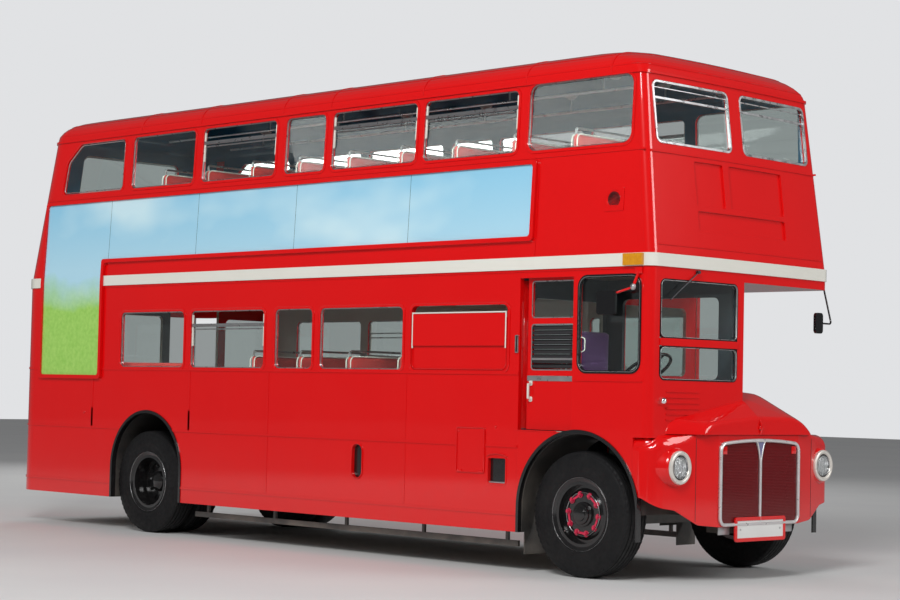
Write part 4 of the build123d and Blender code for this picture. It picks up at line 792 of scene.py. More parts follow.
def build_cab_windows():
    """Black gaskets and bright lines of the cab's side window and windscreen, and the screen's red bar."""
    gasket = bmesh.new()
    line = bmesh.new()
    red = bmesh.new()
    x0 = FRONT_AXLE_X
    x1 = FRONT_AXLE_X + 0.66
    panel(gasket, offside, (x0 - 0.006, x1 + 0.006, 1.664, 2.466), 0.1, IN_OPENING, 0.006, 0.026)
    panel(line, offside, (x0 + 0.008, x1 - 0.008, 1.678, 2.452), 0.088, 0.0, 0.0075, 0.0035)
    for low, high in ((1.62, 1.895), (1.955, 2.43)):
        pane = (-1.105, -0.125, low, high)
        panel(gasket, front, pane, 0.055, IN_OPENING, 0.003, 0.012, 6)
        panel(line, front, grown(pane, -0.01), 0.045, -0.01, 0.0045, 0.0035, 6)
    panel(red, front, (-1.105, -0.125, 1.895, 1.955), 0.01, IN_OPENING, 0.008, cuts=6)
    finish_piece(gasket, "cab_window_gaskets", "lip_black")
    finish_piece(line, "cab_window_lines", "silver_trim")
    finish_piece(red, "windscreen_bar", "red_paint")


# Cab door

DOOR_Y = 1.168
DOOR_REAR_X = FRONT_AXLE_X - 0.6
DOOR_FRONT_X = FRONT_AXLE_X - 0.025
PULL_LOW = 1.445
PULL_HIGH = 1.579
SLATS = 9
SLAT_STEP = 0.04


def door_face(u, v, w):
    """A point w proud of the sliding door's outer face."""
    return Vector((u, -DOOR_Y - w, v))


def build_door_trim():
    """Bright frames and bars of the cab door, the dark slats behind its panes and the white pull handle."""
    line = bmesh.new()
    x = DOOR_REAR_X + 0.045
    x1 = DOOR_FRONT_X - 0.06
    for low, high in ((2.122, 2.434), (1.686, 2.074)):
        panel(line, door_face, (x - 0.004, x1 + 0.004, low, high), 0.03, LET_IN, 0.003, 0.009)
    panel(line, door_face, (x, x1, 1.772, 1.790), 0.003, -0.006, 0.003)
    panel(line, door_face, (DOOR_REAR_X + 0.004, DOOR_FRONT_X - 0.02, 1.598, 1.642), 0.004, LET_IN, 0.005)
    finish_piece(line, "door_lines", "silver_trim", "sliding_door")
    dark = bmesh.new()
    for i in range(SLATS):
        z = 1.705 + SLAT_STEP * i
        block(dark, (x - 0.004, 0.030 - DOOR_Y, z), (x1 + 0.004, 0.036 - DOOR_Y, z + 0.037), 0.002)
        block(dark, (x + 0.001, 0.004 - DOOR_Y, z + 0.004), (x1 - 0.001, 0.024 - DOOR_Y, z + 0.028), 0.003)
    finish_piece(dark, "door_slats", "chassis_black", "sliding_door")
    white = bmesh.new()
    pull = ((PULL_LOW, 0.001), (PULL_LOW, 0.026), (PULL_LOW + 0.008, 0.034),
            (PULL_HIGH - 0.008, 0.034), (PULL_HIGH, 0.026), (PULL_HIGH, 0.001))
    tube(white, [door_face(x, z, w) for z, w in pull], 0.0112, smooth=2)
    for z in (PULL_LOW, PULL_HIGH):
        panel(white, door_face, (x - 0.018, x + 0.018, z - 0.022, z + 0.022), 0.012, LET_IN, 0.006)
    finish_piece(white, "door_pull", "cream_paint", "sliding_door")


def build_jamb_handle():
    """The silver grab handle, with a dark plate in its slot as painted shade, on the jamb behind the cab
    door.
    """
    silver = bmesh.new()
    dark = bmesh.new()
    x = FRONT_AXLE_X - 0.672
    panel(silver, offside, (x - 0.018, x + 0.018, 1.83, 1.98), 0.008, LET_IN, 0.012, 0.009)
    # Painted shade: a dark plate in the handle's slot
    panel(dark, offside, (x - 0.009, x + 0.009, 1.839, 1.971), 0.004, LET_IN, 0.003)
    finish_piece(silver, "jamb_handle", "silver_trim")
    finish_piece(dark, "jamb_handle_slot_shade", "lip_black")


# Wheels: every piece is spun about the axle, outer face towards plus Y, then put on its side

BOLT_R = 0.1625
NUTS = 10
FIRST_NUT = 0.35
NUT_HIGH = 0.018
FRONT_NUT_Y = 0.0755
REAR_NUT_Y = -0.0345
SHOULDER_Y = 0.1085
SHOULDERS = 60
# Half of the tyre's section from the middle of the tread: Y and radius
TYRE_HALF = [
    (0.0045, 0.506), (0.0045, 0.517), (0.0375, 0.517), (0.0375, 0.506), (0.0465, 0.506), (0.0465, 0.5165),
    (0.078, 0.5145), (0.078, 0.504), (0.087, 0.5035), (0.087, 0.5135), (0.103, 0.511), (0.111, 0.505),
    (0.117, 0.488), (0.1168, 0.484), (0.1195, 0.480), (0.1235, 0.455), (0.1275, 0.425), (0.1293, 0.395),
    (0.1293, 0.370), (0.1275, 0.366), (0.1282, 0.352), (0.1262, 0.335), (0.1272, 0.331), (0.1245, 0.316),
    (0.119, 0.302), (0.112, 0.290), (0.098, 0.278), (0.095, 0.262),
]
# The rim's flange, the stepped hub caps and the ring on the front dome
FLANGE = [(0.094, 0.262), (0.109, 0.268), (0.119, 0.286), (0.1225, 0.298), (0.1185, 0.301),
          (0.1135, 0.291), (0.103, 0.279), (0.094, 0.275)]
FRONT_CAP = [(0.0755, 0.102), (0.094, 0.099), (0.098, 0.094), (0.100, 0.083), (0.114, 0.080), (0.118, 0.074),
             (0.1185, 0.056), (0.126, 0.052), (0.128, 0.044), (0.128, 0.0), (0.0755, 0.0)]
REAR_CAP = [(-0.0345, 0.104), (-0.012, 0.101), (-0.006, 0.094), (0.004, 0.091), (0.024, 0.064),
            (0.030, 0.056), (0.032, 0.0), (-0.0345, 0.0)]
DOME_RING = [(0.0755, 0.186), (0.082, 0.182), (0.086, 0.175), (0.085, 0.169), (0.080, 0.166), (0.0755, 0.166)]


def wheel_place(x, side, y=0.0):
    """Where a wheel's middle plane stands: outer face to its own side of the bus."""
    sign = -1 if side == "offside" else 1
    return outward(x, sign * TRACK_Y, AXLE_Z) @ Matrix.Translation((0, y, 0))


def build_tyres():
    """Ribbed tyres, spun, with shoulder blocks between the tread and the sidewall."""
    ring = [(-y, r) for y, r in reversed(TYRE_HALF)] + TYRE_HALF
    for side in ("offside", "nearside"):
        for node, body, x, shifts in (("front_tyre_", "front_road_wheel_", FRONT_AXLE_X, (0.0,)),
                                      ("rear_tyres_", "rear_twin_", REAR_AXLE_X, (0.0, -TWIN_STEP))):
            bm = bmesh.new()
            for shift in shifts:
                spot = wheel_place(x, side, shift)
                spun(bm, ring, spot, 120)
                for y in (-SHOULDER_Y, SHOULDER_Y):
                    for i in range(SHOULDERS):
                        turned = spot @ Matrix.Rotation(math.tau * i / SHOULDERS, 4, "Y")
                        block(bm, (-0.011, y - 0.007, 0.4825), (0.011, y + 0.007, 0.5045), place=turned)
            tyre = finish_piece(bm, node + side + "_ribbed", "tyre_rubber", body + side)
            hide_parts(node + side)


def at_nut(place, i):
    """A wheel's place turned to its nut number i."""
    return place @ Matrix.Rotation(math.tau * (i + FIRST_NUT) / NUTS, 4, "Y")


def nut(bm, place, face_y):
    """A hexagonal nut with its stud, at the bolt circle."""
    made = bmesh.new()
    bmesh.ops.create_cone(made, cap_ends=True, segments=6, radius1=0.0185, radius2=0.0175, depth=NUT_HIGH)
    bmesh.ops.create_cone(made, cap_ends=True, segments=10, radius1=0.010, radius2=0.009,
                          depth=NUT_HIGH + 0.016)
    seat = Matrix.Translation((0, face_y + NUT_HIGH / 2, BOLT_R)) @ Matrix.Rotation(math.pi / 2, 4, "X")
    bmesh.ops.transform(made, matrix=place @ seat, verts=made.verts)
    add_to(bm, made)


def build_wheel_trim():
    """Rims, rings, hub caps and nuts of the four wheel sets; the bright rings on the flange and the front
    dome are painted highlights.
    """
    for side in ("offside", "nearside"):
        for end, body, x, cap in (("front", "front_road_wheel_" + side, FRONT_AXLE_X, FRONT_CAP),
                                  ("rear", "rear_twin_" + side, REAR_AXLE_X, REAR_CAP)):
            place = wheel_place(x, side)
            black = bmesh.new()
            bright = bmesh.new()
            spun(black, FLANGE, place, 96)
            spun(black, cap, place)
            # Painted highlight: a bright ring on the edge of the rim's flange
            spun(bright, [(0.1205, 0.2985), (0.1238, 0.3), (0.1205, 0.3018)], place, 96)
            if end == "front":
                spun(black, DOME_RING, place, 96)
                # Painted highlight: a bright ring on the edge of the front dome
                spun(bright, [(0.0845, 0.1755), (0.0872, 0.178), (0.0845, 0.1805)], place, 96)
                valve = [place @ Vector((0.17, 0.07, -0.14)), place @ Vector((0.175, 0.105, -0.145))]
                tube(bright, valve, 0.005)
            else:
                for i in range(NUTS):
                    nut(black, at_nut(place, i), REAR_NUT_Y)
            finish_piece(black, f"{end}_rim_{side}", "wheel_black", body)
            finish_piece(bright, f"{end}_wheel_highlight_rings_{side}", "silver_trim", body)
        build_nut_pointers(side)


def build_nut_pointers(side):
    """The front wheel's nuts, with pinkish red pointers that link them in pairs."""
    place = wheel_place(FRONT_AXLE_X, side)
    bm = bmesh.new()
    collar = [(0.0765, 0.0195), (0.084, 0.0195), (0.084, 0.027), (0.0765, 0.027)]
    half_way = Matrix.Translation((0, 0.080, BOLT_R * math.cos(math.pi / NUTS)))
    for i in range(NUTS):
        spun(bm, collar, at_nut(place, i) @ Matrix.Translation((0, 0, BOLT_R)), 20)
        nut(bm, at_nut(place, i), FRONT_NUT_Y)
        if i % 2 == 0:
            middle = at_nut(place, i + 0.5) @ half_way
            block(bm, (-0.032, -0.003, -0.01), (0.032, 0.003, 0.01), 0.0015, place=middle)
    finish_piece(bm, "nut_pointers_" + side, "lamp_red", "front_road_wheel_" + side)


# Nose

NOSE_FACE_X = FRONT_AXLE_X + 0.94
LAMP_Y = 0.98
LAMP_Z = 0.93
GRILLE_HALF = 0.545
GRILLE_TOP = 1.13
GRILLE_BOW = 0.03
WIRE_STEP = 0.0125
# The rim of the bonnet and the top of the nearside wing fall forward between these two places
RIM_ENDS = (FRONT_AXLE_X + 0.33, FRONT_AXLE_X + 0.60)
LID_RIM = (1.238, 1.193)
WING_TOPS = (1.235, 1.19)
CROWN_LOW = 1.055
BONNET_TOP = 1.556
GROWN = 0.2
SOFT_GRID = 0.011
SOFT_ROUNDS = 22
SHELL_T = 0.012
HINGES = (-0.450, 0.040, 0.560)
# The low dome of a stud
STUD = [(0.0, 0.0), (0.0, 0.009), (0.004, 0.008), (0.006, 0.0)]
# Plan of the nose's corner: a point of the raked face, its outward normal, and the corner's middle and radius
FACE_POINT = Vector((FRONT_AXLE_X + 0.90, 0.79))
FACE_OUT = Vector((0.971, 0.238))
CORNER = Vector((FRONT_AXLE_X + 0.661, 1.049))
CORNER_R = 0.17
CROWN_R = 0.13
BROW_R = 0.10
BROW_Y = 0.80


def grille_bow(y, half):
    """Rise of the grille's bowed top edge, which is half wide, over its corners."""
    return GRILLE_BOW * (1 - (y / half) ** 2)


def grille_line(inset, radius):
    """The points round the grille: straight sides, round corners and a bowed top."""
    half = GRILLE_HALF - inset
    box = (-half, half, 0.455 + inset, GRILLE_TOP - inset)
    corners = rounded_line(box, radius, across(NOSE_FACE_X), 0.012)
    loop = []
    for a, b in zip(corners, corners[1:] + corners[:1]):
        parts = 10 if abs(a.y - b.y) > 0.5 else 1
        loop += [a.lerp(b, i / parts) for i in range(parts)]
    for p in loop:
        if p.z > 0.9:
            p.z += grille_bow(p.y, half)
    return loop


def rim_share(x):
    """How far along the falling part of the rim a place is, from 0 to 1."""
    return min(1.0, max(0.0, (x - RIM_ENDS[0]) / (RIM_ENDS[1] - RIM_ENDS[0])))


def soft_skin(node, way, seam_y, rear_x, low):
    """A rounded shell over the outer form of one half of the bonnet.

    Its hull is grown down, back and to the other half, remeshed, smoothed, and cut at the seams.
    """
    made = bmesh.new()
    made.from_mesh(NODES[node].data)
    bmesh.ops.delete(made, geom=[v for v in made.verts if v.co.z > BONNET_TOP], context="VERTS")
    copies = made.verts[:]
    for x, y, z in ((0, 0, -1), (0, way, 0), (0, way, -1), (-1, 0, 0), (-1, way, -1)):
        more = bmesh.ops.duplicate(made, geom=copies)["geom"]
        bmesh.ops.translate(made, vec=(x * GROWN, y * GROWN, z * GROWN), verts=only_verts(more))
    hull = bmesh.new()
    for v in made.verts:
        hull.verts.new(v.co)
    made.free()
    bmesh.ops.remove_doubles(hull, verts=hull.verts, dist=1e-4)
    spare = bmesh.ops.convex_hull(hull, input=hull.verts, use_existing_faces=False)["geom_interior"]
    bmesh.ops.delete(hull, geom=only_verts(spare), context="VERTS")
    form = linked_object("form", hull)
    remesh(form, SOFT_GRID)
    soft = form.modifiers.new("soft", "SMOOTH")
    soft.factor = 0.5
    soft.iterations = SOFT_ROUNDS
    bpy.context.view_layer.update()
    bm = bmesh.new()
    bm.from_mesh(evaluated_mesh(form))
    bpy.data.objects.remove(form)
    cut(bm, (0, seam_y, 0), (0, -way, 0), clear=True)
    cut(bm, (rear_x, 0, 0), (1, 0, 0), clear=True)
    cut(bm, (0, 0, low), (0, 0, 1), clear=True)
    return bm


def thicken(bm):
    """Turn a skin's faces out and give it the thickness of a pressing."""
    bmesh.ops.recalc_face_normals(bm, faces=bm.faces)
    bmesh.ops.solidify(bm, geom=bm.faces[:], thickness=SHELL_T)


def build_bonnet():
    """The bonnet's lid and cowl as softly rounded pressings, with the lid's hinge knuckles."""
    x = FRONT_AXLE_X
    lid = soft_skin("bonnet_lid", -1, -0.0355, x - 0.657, 1.193)
    for v in lid.verts:
        v.co.z = max(v.co.z, LID_RIM[0] + (LID_RIM[1] - LID_RIM[0]) * rim_share(v.co.x))
    bmesh.ops.dissolve_degenerate(lid, dist=1e-4, edges=lid.edges)
    bmesh.ops.remove_doubles(lid, verts=lid.verts, dist=1e-4)
    thicken(lid)
    knuckle = [(-0.0105, 0.0), (-0.0105, 0.008), (0.0105, 0.008), (0.0105, 0.0)]
    for hinge in HINGES:
        for step in (-0.0345, 0.0345):
            spun(lid, knuckle, turned_forward(x + hinge + step, -0.028, 1.559), 20, closed=False)
    piece = finish_piece(lid, "bonnet_lid_soft", "red_paint", "bonnet", sharp=50)
    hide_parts("bonnet_lid")
    cowl = soft_skin("bonnet_cowl", 1, -0.0385, x + 0.72, 1.192)
    thicken(cowl)
    piece = finish_piece(cowl, "bonnet_cowl_soft", "red_paint", sharp=50)
    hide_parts("bonnet_cowl")


def cut_crown(bm, point, way):
    """Add a line of edges where a plane crosses the wings above the headlamps."""
    high = [g for g in bm.edges[:] + bm.faces[:] if min(v.co.z for v in g.verts) > CROWN_LOW - 1e-4]
    verts = [v for v in bm.verts if v.co.z > CROWN_LOW - 1e-4]
    bmesh.ops.bisect_plane(bm, geom=verts + high, dist=1e-5, plane_co=point, plane_no=way)


def round_wing(bm):
    """Bend the square top corner of the nearside wing, behind the nose, to a round crown."""
    cut(bm, (0, 0, CROWN_LOW), (0, 0, 1))
    for k in range(14):
        cut_crown(bm, (0, 0, 1.08 + 0.012 * k), (0, 0, 1))
        cut_crown(bm, (0, HALF - 0.01 * k, 0), (0, 1, 0))
    for v in bm.verts:
        if v.co.y < 0 or v.co.x > RIM_ENDS[1] + 1e-4:
            continue
        share = rim_share(v.co.x)
        top = WING_TOPS[0] + (WING_TOPS[1] - WING_TOPS[0]) * share
        radius = 0.10 + 0.03 * share
        a = (v.co.y - HALF) / radius + 1
        b = (v.co.z - top) / radius + 1
        joined = abs(v.co.x - RIM_ENDS[1]) < 1e-4 and math.hypot(a, b) < 1.001
        if a > 0 and b > 0 and not joined:
            pull = max(a, b) / math.hypot(a, b)
            v.co.y = HALF + radius * (a * pull - 1)
            v.co.z = top + radius * (b * pull - 1)


def round_brow(bm):
    """Round the wings' front edge above the headlamps, from nothing at the seam to full at the corner."""
    for side in (-1, 1):
        way = Vector((FACE_OUT.x, side * FACE_OUT.y, 0))
        for k in range(9):
            cut_crown(bm, Vector((FACE_POINT.x, side * FACE_POINT.y, 0)) - way * 0.0125 * k, way)
        for k in range(14):
            cut_crown(bm, (0, side * (HALF - 0.01 * k), 0), (0, 1, 0))
    for v in bm.verts:
        side = 1 if v.co.y > 0 else -1
        at = Vector((v.co.x, abs(v.co.y)))
        if at.x < CORNER.x or at.y < BROW_Y:
            continue
        spoke = at - CORNER
        if spoke.dot(Vector((-FACE_OUT.y, FACE_OUT.x))) > 0:
            out = spoke.normalized()
            inward = CORNER_R - spoke.length
        else:
            out = FACE_OUT
            inward = -(at - FACE_POINT).dot(FACE_OUT)
        grow = min(1.0, (at.y - BROW_Y) / 0.25)
        radius = BROW_R * grow * grow * (3 - 2 * grow) * min(1.0, out.x * 1.6)
        if radius < 0.002:
            continue
        past = min(CROWN_R, max(0.0, at.y - (HALF - CROWN_R)))
        top = WING_TOPS[1] - CROWN_R + math.sqrt(CROWN_R ** 2 - past ** 2)
        a = 1 - inward / radius
        b = (v.co.z - top) / radius + 1
        if a > 0 and b > 0:
            lost = 1 - max(a, b) / math.hypot(a, b)
            v.co.x -= out.x * radius * a * lost
            v.co.y -= side * out.y * radius * a * lost
            v.co.z -= radius * b * lost


def build_round_wings():
    """Wings with a round crown all along, and pods that carry them out to the headlamps."""
    wings = bmesh.new()
    wings.from_mesh(NODES["wings"].data)
    bmesh.ops.remove_doubles(wings, verts=wings.verts, dist=1e-5)
    round_wing(wings)
    round_brow(wings)
    piece = finish_piece(wings, "wings_crowned", "red_paint", sharp=32)
    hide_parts("wings")
    pods = bmesh.new()
    flare = [(0.884, 0.1335), (0.8835, 0.139), (0.876, 0.146), (0.858, 0.153), (0.83, 0.163), (0.79, 0.182),
             (0.76, 0.19), (0.76, 0.1335)]
    for y in (-LAMP_Y, LAMP_Y):
        spun(pods, flare, turned_forward(FRONT_AXLE_X, y, LAMP_Z), 72)
    finish_piece(pods, "lamp_pods", "red_paint", sharp=50)


def build_grille():
    """The silver tube round the grille, its centre bar, the wire mesh, corner pads and the blank badge."""
    x = NOSE_FACE_X
    silver = bmesh.new()
    tube(silver, grille_line(0.012, 0.06), 0.0145, closed=True, smooth=3)
    tube(silver, [(x + 0.012, 0, 0.46), (x + 0.012, 0, 0.985)], 0.0125, smooth=3)
    for way in (-1, 1):
        edge = ((0.004, 0.97), (0.014, 1.02), (0.026, 1.07), (0.043, 1.12), (0.06, 1.148))
        tube(silver, [(x + 0.014, way * y, z) for y, z in edge], 0.0075, smooth=2)
    finish_piece(silver, "grille_tube", "silver_trim")

    wires = bmesh.new()
    edge_y = GRILLE_HALF - 0.03
    for i in range(int(2 * edge_y / WIRE_STEP) + 1):
        y = -edge_y + i * WIRE_STEP
        drop = 0.045 if abs(y) > GRILLE_HALF - 0.06 else 0.0
        top = GRILLE_TOP + grille_bow(y, 0.53) - 0.03 - drop
        block(wires, (x, y - 0.0016, 0.475 + drop), (x + 0.003, y + 0.0016, top))
    end_y = GRILLE_HALF - 0.024
    for i in range(int(0.64 / WIRE_STEP) + 1):
        z = 0.482 + i * WIRE_STEP
        block(wires, (x + 0.0005, -end_y, z - 0.0016), (x + 0.0035, end_y, z + 0.0016))
    finish_piece(wires, "grille_wires", "mesh_red")

    pads = bmesh.new()
    for y in (-0.475, 0.475):
        block(pads, (x, y - 0.032, 1.035), (x + 0.008, y + 0.032, 1.10), 0.003)
        spun(pads, STUD, turned_forward(x + 0.008, y, 1.068), 16)
    finish_piece(pads, "grille_pads", "red_paint")

    badge = flat_face([(0.0, 1.0), (0.042, 1.132), (-0.042, 1.132)], 0.0)
    bmesh.ops.translate(badge, vec=(0, 0.004, 0), verts=extrude(badge))
    for v in badge.verts:
        v.co = (x + 0.0125 + v.co.y, v.co.x, v.co.z)
    finish_piece(badge, "grille_badge_blank", "plate_white")


def build_headlamps():
    """Pale rims, black rings in the gaps as painted shade, bulbs and bright rings of the headlamps, and the
    cab's small round lamp.
    """
    rims = bmesh.new()
    black = bmesh.new()
    bright = bmesh.new()
    x = FRONT_AXLE_X
    rim = [(0.872, 0.1325), (0.890, 0.1355), (0.903, 0.131), (0.9085, 0.121), (0.908, 0.110),
           (0.902, 0.1015), (0.894, 0.0985), (0.890, 0.1325)]
    # Painted shade: a black ring fills the gap between the rim and the inner ring
    gap = [(0.881, 0.0885), (0.889, 0.0885), (0.894, 0.094), (0.892, 0.0985), (0.881, 0.0985)]
    bulb = [(0.816, 0.0), (0.818, 0.014), (0.840, 0.014), (0.852, 0.009), (0.856, 0.0)]
    ring = [(0.899, 0.0858), (0.8935, 0.0885), (0.888, 0.0885), (0.888, 0.084)]
    dome = [(0.786, 0.0245), (0.7905, 0.0275), (0.796, 0.0265), (0.805, 0.02), (0.811, 0.011), (0.813, 0.0),
            (0.786, 0.0)]
    for y in (-LAMP_Y, LAMP_Y):
        place = turned_forward(x, y, LAMP_Z)
        spun(rims, rim, place, 72)
        spun(black, gap, place, 72)
        spun(bright, bulb, place, 24)
        spun(bright, ring, place, 72)
    spun(bright, dome, turned_forward(x, -1.075, 1.455), 32)
    finish_piece(rims, "headlamp_rims", "silver_trim")
    finish_piece(black, "headlamp_gap_shade", "lip_black")
    finish_piece(bright, "lamp_bright_parts", "chrome_trim")


def build_plate_surround():
    """Red surround of the blank number plate, its bracket plates and two screws."""
    red = bmesh.new()
    x = FRONT_AXLE_X + 0.96
    panel(red, across(x), (-0.345, 0.345, 0.325, 0.525), 0.028, -0.010, 0.004, 0.030)
    finish_piece(red, "plate_surround", "red_paint")
    steel = bmesh.new()
    for y in (-0.43, 0.43):
        block(steel, (x - 0.055, y - 0.075, 0.385), (x - 0.045, y + 0.075, 0.452), 0.004)
    for y in (-0.27, 0.27):
        spun(steel, [(0.0, 0.0), (0.0, 0.009), (0.003, 0.008), (0.004, 0.0)], turned_forward(x, y, 0.425), 16)
    finish_piece(steel, "plate_brackets", "seat_steel")


def build_bonnet_catch():
    """The spring catch on the bonnet's front edge, beside its seam."""
    bm = bmesh.new()
    x = FRONT_AXLE_X + 0.962
    spring = ((0, 1.20), (0.008, 1.225), (0.008, 1.285), (-0.004, 1.31))
    tube(bm, [(x + out, -0.02, z) for out, z in spring], 0.008)
    block(bm, (x - 0.004, -0.045, 1.24), (x + 0.010, 0.005, 1.262), 0.003)
    finish_piece(bm, "bonnet_catch", "red_paint")


# Seams, rivets and roof ridges

SKIN_MIDDLE = Vector((0, 0, 2.2))
BOARD_FACE = 0.0125
BOARD_SINK = 0.0115
RIDGES = (105.0, 88.1, 66.4, 54.6, 33.6, 12.2, -4.0)
PANEL_SEAMS = (-6.755, -5.11, -3.90, -2.01)
BOARD_SEAMS = (-6.544, -5.074, -3.583, -2.033)
# Rows of rivets: height, rear end, front end and step
RIVET_ROWS = [(2.31, -7.5, -0.72, 0.104), (1.60, -7.6, -0.72, 0.16), (0.42, -5.1, -0.8, 0.16),
              (3.44, -7.6, -0.55, 0.16)]


def skin_strip(bm, node, way, low, high, thick):
    """A raised strip cut out of a copy of a CAD skin, from low to high along a way."""
    made = bmesh.new()
    made.from_mesh(NODES[node].data)
    bmesh.ops.remove_doubles(made, verts=made.verts, dist=1e-5)
    cut(made, way * low, way, clear=True)
    cut(made, way * high, -way, clear=True)
    inward = []
    for f in made.faces:
        away = f.calc_center_median() - SKIN_MIDDLE
        away.x = away.x / 4
        if f.normal.dot(away) < 0.12 * away.length:
            inward.append(f)
    bmesh.ops.delete(made, geom=inward, context="FACES")
    lifted = extrude(made)
    made.normal_update()
    for v in lifted:
        v.co += v.normal * thick
    add_to(bm, made)


def build_roof_ridges():
    """Half round ridges over the roof at the pillars, and two long ones at its shoulders."""
    bm = bmesh.new()
    for a in RIDGES:
        x = FRONT_AXLE_X - a * BAY
        skin_strip(bm, "roof", Vector((1, 0, 0)), x - 0.009, x + 0.009, 0.004)
    for z in (GUTTER_Z + 0.055, GUTTER_Z + 0.165):
        skin_strip(bm, "roof", Vector((0, 0, 1)), z - 0.005, z + 0.005, 0.003)
    finish_piece(bm, "roof_ridges", "red_paint", sharp=60)


def build_body_seams():
    """Cover strips over the seams of the body, above and below the boards and on the lower panels."""
    bm = bmesh.new()
    x = FRONT_AXLE_X
    for side in (offside, nearside):
        for low, high in ((3.462, 3.478), (2.505, 2.519)):
            panel(bm, side, (REAR_SEAM_X + 0.12, x + 0.64, low, high), 0.002, LET_IN, 0.006, cuts=4)
        panel(bm, side, (x - 0.51, x - 0.495, 2.65, 3.46), 0.002, LET_IN, 0.004)
        for at in PANEL_SEAMS:
            foot = 0.50 if at > -5 else 1.25
            for low, high in ((foot, 1.03), (1.06, 1.64)):
                panel(bm, side, (x + at - 0.012, x + at + 0.012, low, high), 0.002, LET_IN, 0.0025)
    panel(bm, front, (-1.12, 1.12, 3.452, 3.468), 0.002, LET_IN, 0.006, cuts=12)
    panel(bm, front, (-1.12, 1.12, 2.70, 2.712), 0.002, LET_IN, 0.004, cuts=12)
    panel(bm, rear, (-0.88, 0.88, 3.32, 3.336), 0.002, LET_IN, 0.006)
    panel(bm, rear, (-0.88, 0.88, 2.62, 2.634), 0.002, LET_IN, 0.006)
    finish_piece(bm, "body_seams", "red_paint")


def build_dark_seams():
    """Dark lines where panels meet: beside the front panel and between the advertising boards."""
    bm = bmesh.new()
    for y in (-0.79, 0.79):
        block(bm, (NOSE_FACE_X - 0.043, y - 0.002, 0.50), (NOSE_FACE_X - 0.0388, y + 0.002, 1.16))
    for at in BOARD_SEAMS:
        x = FRONT_AXLE_X + at
        for side in (offside, nearside):
            panel(bm, side, (x - 0.0015, x + 0.0015, 2.806, 3.414), 0.0, BOARD_SINK, BOARD_FACE + 0.0004)
    finish_piece(bm, "dark_seams", "lip_black")


def build_rivets():
    """Rows of small rivets along the body."""
    bm = bmesh.new()
    for z, x0, x1, step in RIVET_ROWS:
        for i in range(int((x1 - x0) / step) + 1):
            for side in (-1, 1):
                place = outward(FRONT_AXLE_X + x0 + i * step, side * side_skin(z), z)
                spun(bm, [(0.0, 0.0045), (0.0016, 0.0036), (0.0024, 0.0)], place, 8, closed=False)
    finish_piece(bm, "rivets", "red_paint")


def build_side_details():
    """Discs, catches and moulding of the fuel flap, the step pocket, the vent, and strips round the cab, with
    dark plates in the pockets as painted shade.
    """
    x = FRONT_AXLE_X
    bm = bmesh.new()
    for at, z, r in ((-1.335, 1.165, 0.014), (-6.894, 1.199, 0.012), (-0.9, 1.20, 0.008)):
        disc = [(-0.004, r), (0.002, r), (0.004, r * 0.7), (0.004, 0.0)]
        spun(bm, disc, outward(x + at, -HALF - 0.005, z), 20, closed=False)
    for at in (x - 1.34, x - 1.09):
        block(bm, (at, -HALF - 0.012, 0.812), (at + 0.05, -HALF - 0.003, 0.832), 0.003)
    finish_piece(bm, "side_details", "red_paint")
    dark = bmesh.new()
    # Painted shade: dark plates at the backs of the oval slot and the step pocket; the rings below are the
    # vent's dark grille
    panel(dark, offside, (x - 2.69, x - 2.56, 0.70, 1.0), 0.06, -0.0318, -0.027)
    panel(dark, offside, (x - 0.979, x - 0.781, 0.731, 0.939), 0.019, -0.0318, -0.028)
    vent = outward(x + 0.3425, -side_skin(3.073) - 0.0045, 3.073)
    for r in (0.0615, 0.05, 0.038, 0.026, 0.014):
        spun(dark, [(0.0, r), (0.003, r), (0.003, r - 0.007), (0.0, r - 0.007)], vent, 40)
    finish_piece(dark, "pocket_shade_backs_and_vent_rings", "lip_black")
    ledge = bmesh.new()
    block(ledge, (x - 0.975, -HALF + 0.001, 0.732), (x - 0.785, -HALF + 0.030, 0.746), 0.004)
    finish_piece(ledge, "step_ledge", "silver_trim")
    red = bmesh.new()
    flap = rounded_line((x - 1.357, x - 1.028, 0.812, 1.192), 0.018, offside, 0.006)
    tube(red, flap, 0.0065, closed=True)
    brow = ((-1.0, 0.955, 0.003), (-0.96, 0.972, 0.006), (-0.88, 0.98, 0.007), (-0.80, 0.972, 0.006),
            (-0.76, 0.955, 0.003))
    tube(red, [offside(x + at, z, w) for at, z, w in brow], 0.006)
    pocket = rounded_line((x - 2.696, x - 2.554, 0.694, 1.006), 0.066, offside, 0.005)
    tube(red, pocket, 0.006, closed=True)
    block(red, (x - 0.6595, -1.172, 1.20), (x - 0.653, -1.06, 2.44), 0.002)
    panel(red, offside, (x - 0.995, x - 0.765, 0.715, 0.955), 0.03, LET_IN, 0.004, 0.014)
    panel(red, offside, (x - 0.685, x - 0.215, 1.178, 1.188), 0.002, LET_IN, 0.004)
    panel(red, offside, (x - 0.03, x + 0.685, 1.60, 1.616), 0.002, LET_IN, 0.006)
    for i in range(6):
        z = 1.30 + 0.045 * i
        panel(red, front, (-1.02, -0.62, z, z + 0.012), 0.005, LET_IN, 0.006, cuts=4)
    finish_piece(red, "side_mouldings", "red_paint")


# Seats: pads blown up by cloth pressure, copied to their places, with piping, and rails along their backs

SEAT_IN = 0.26
SEAT_D = 0.42
SEAT_Z = 0.43
PAD_T = 0.11
BACK_T = 0.08
BACK_TOP = 1.11
FLOOR_Z = 0.70
UPPER_FLOOR_Z = 2.56
LOWER_ROWS = [FRONT_AXLE_X - 1.44 - 0.69 * i for i in range(5)]
UPPER_ROWS = [FRONT_AXLE_X - 0.15 - 0.70 * i for i in range(9)]
LOWER_OUT = 1.15
UPPER_OUT = 1.10
BENCH_X = REAR_AXLE_X - 0.538
BENCH_Z = 1.222
BENCH_LENGTH = 1.15
PAD_ROOM = 0.006
VOXEL = 0.021
CLOTH_STEPS = 20


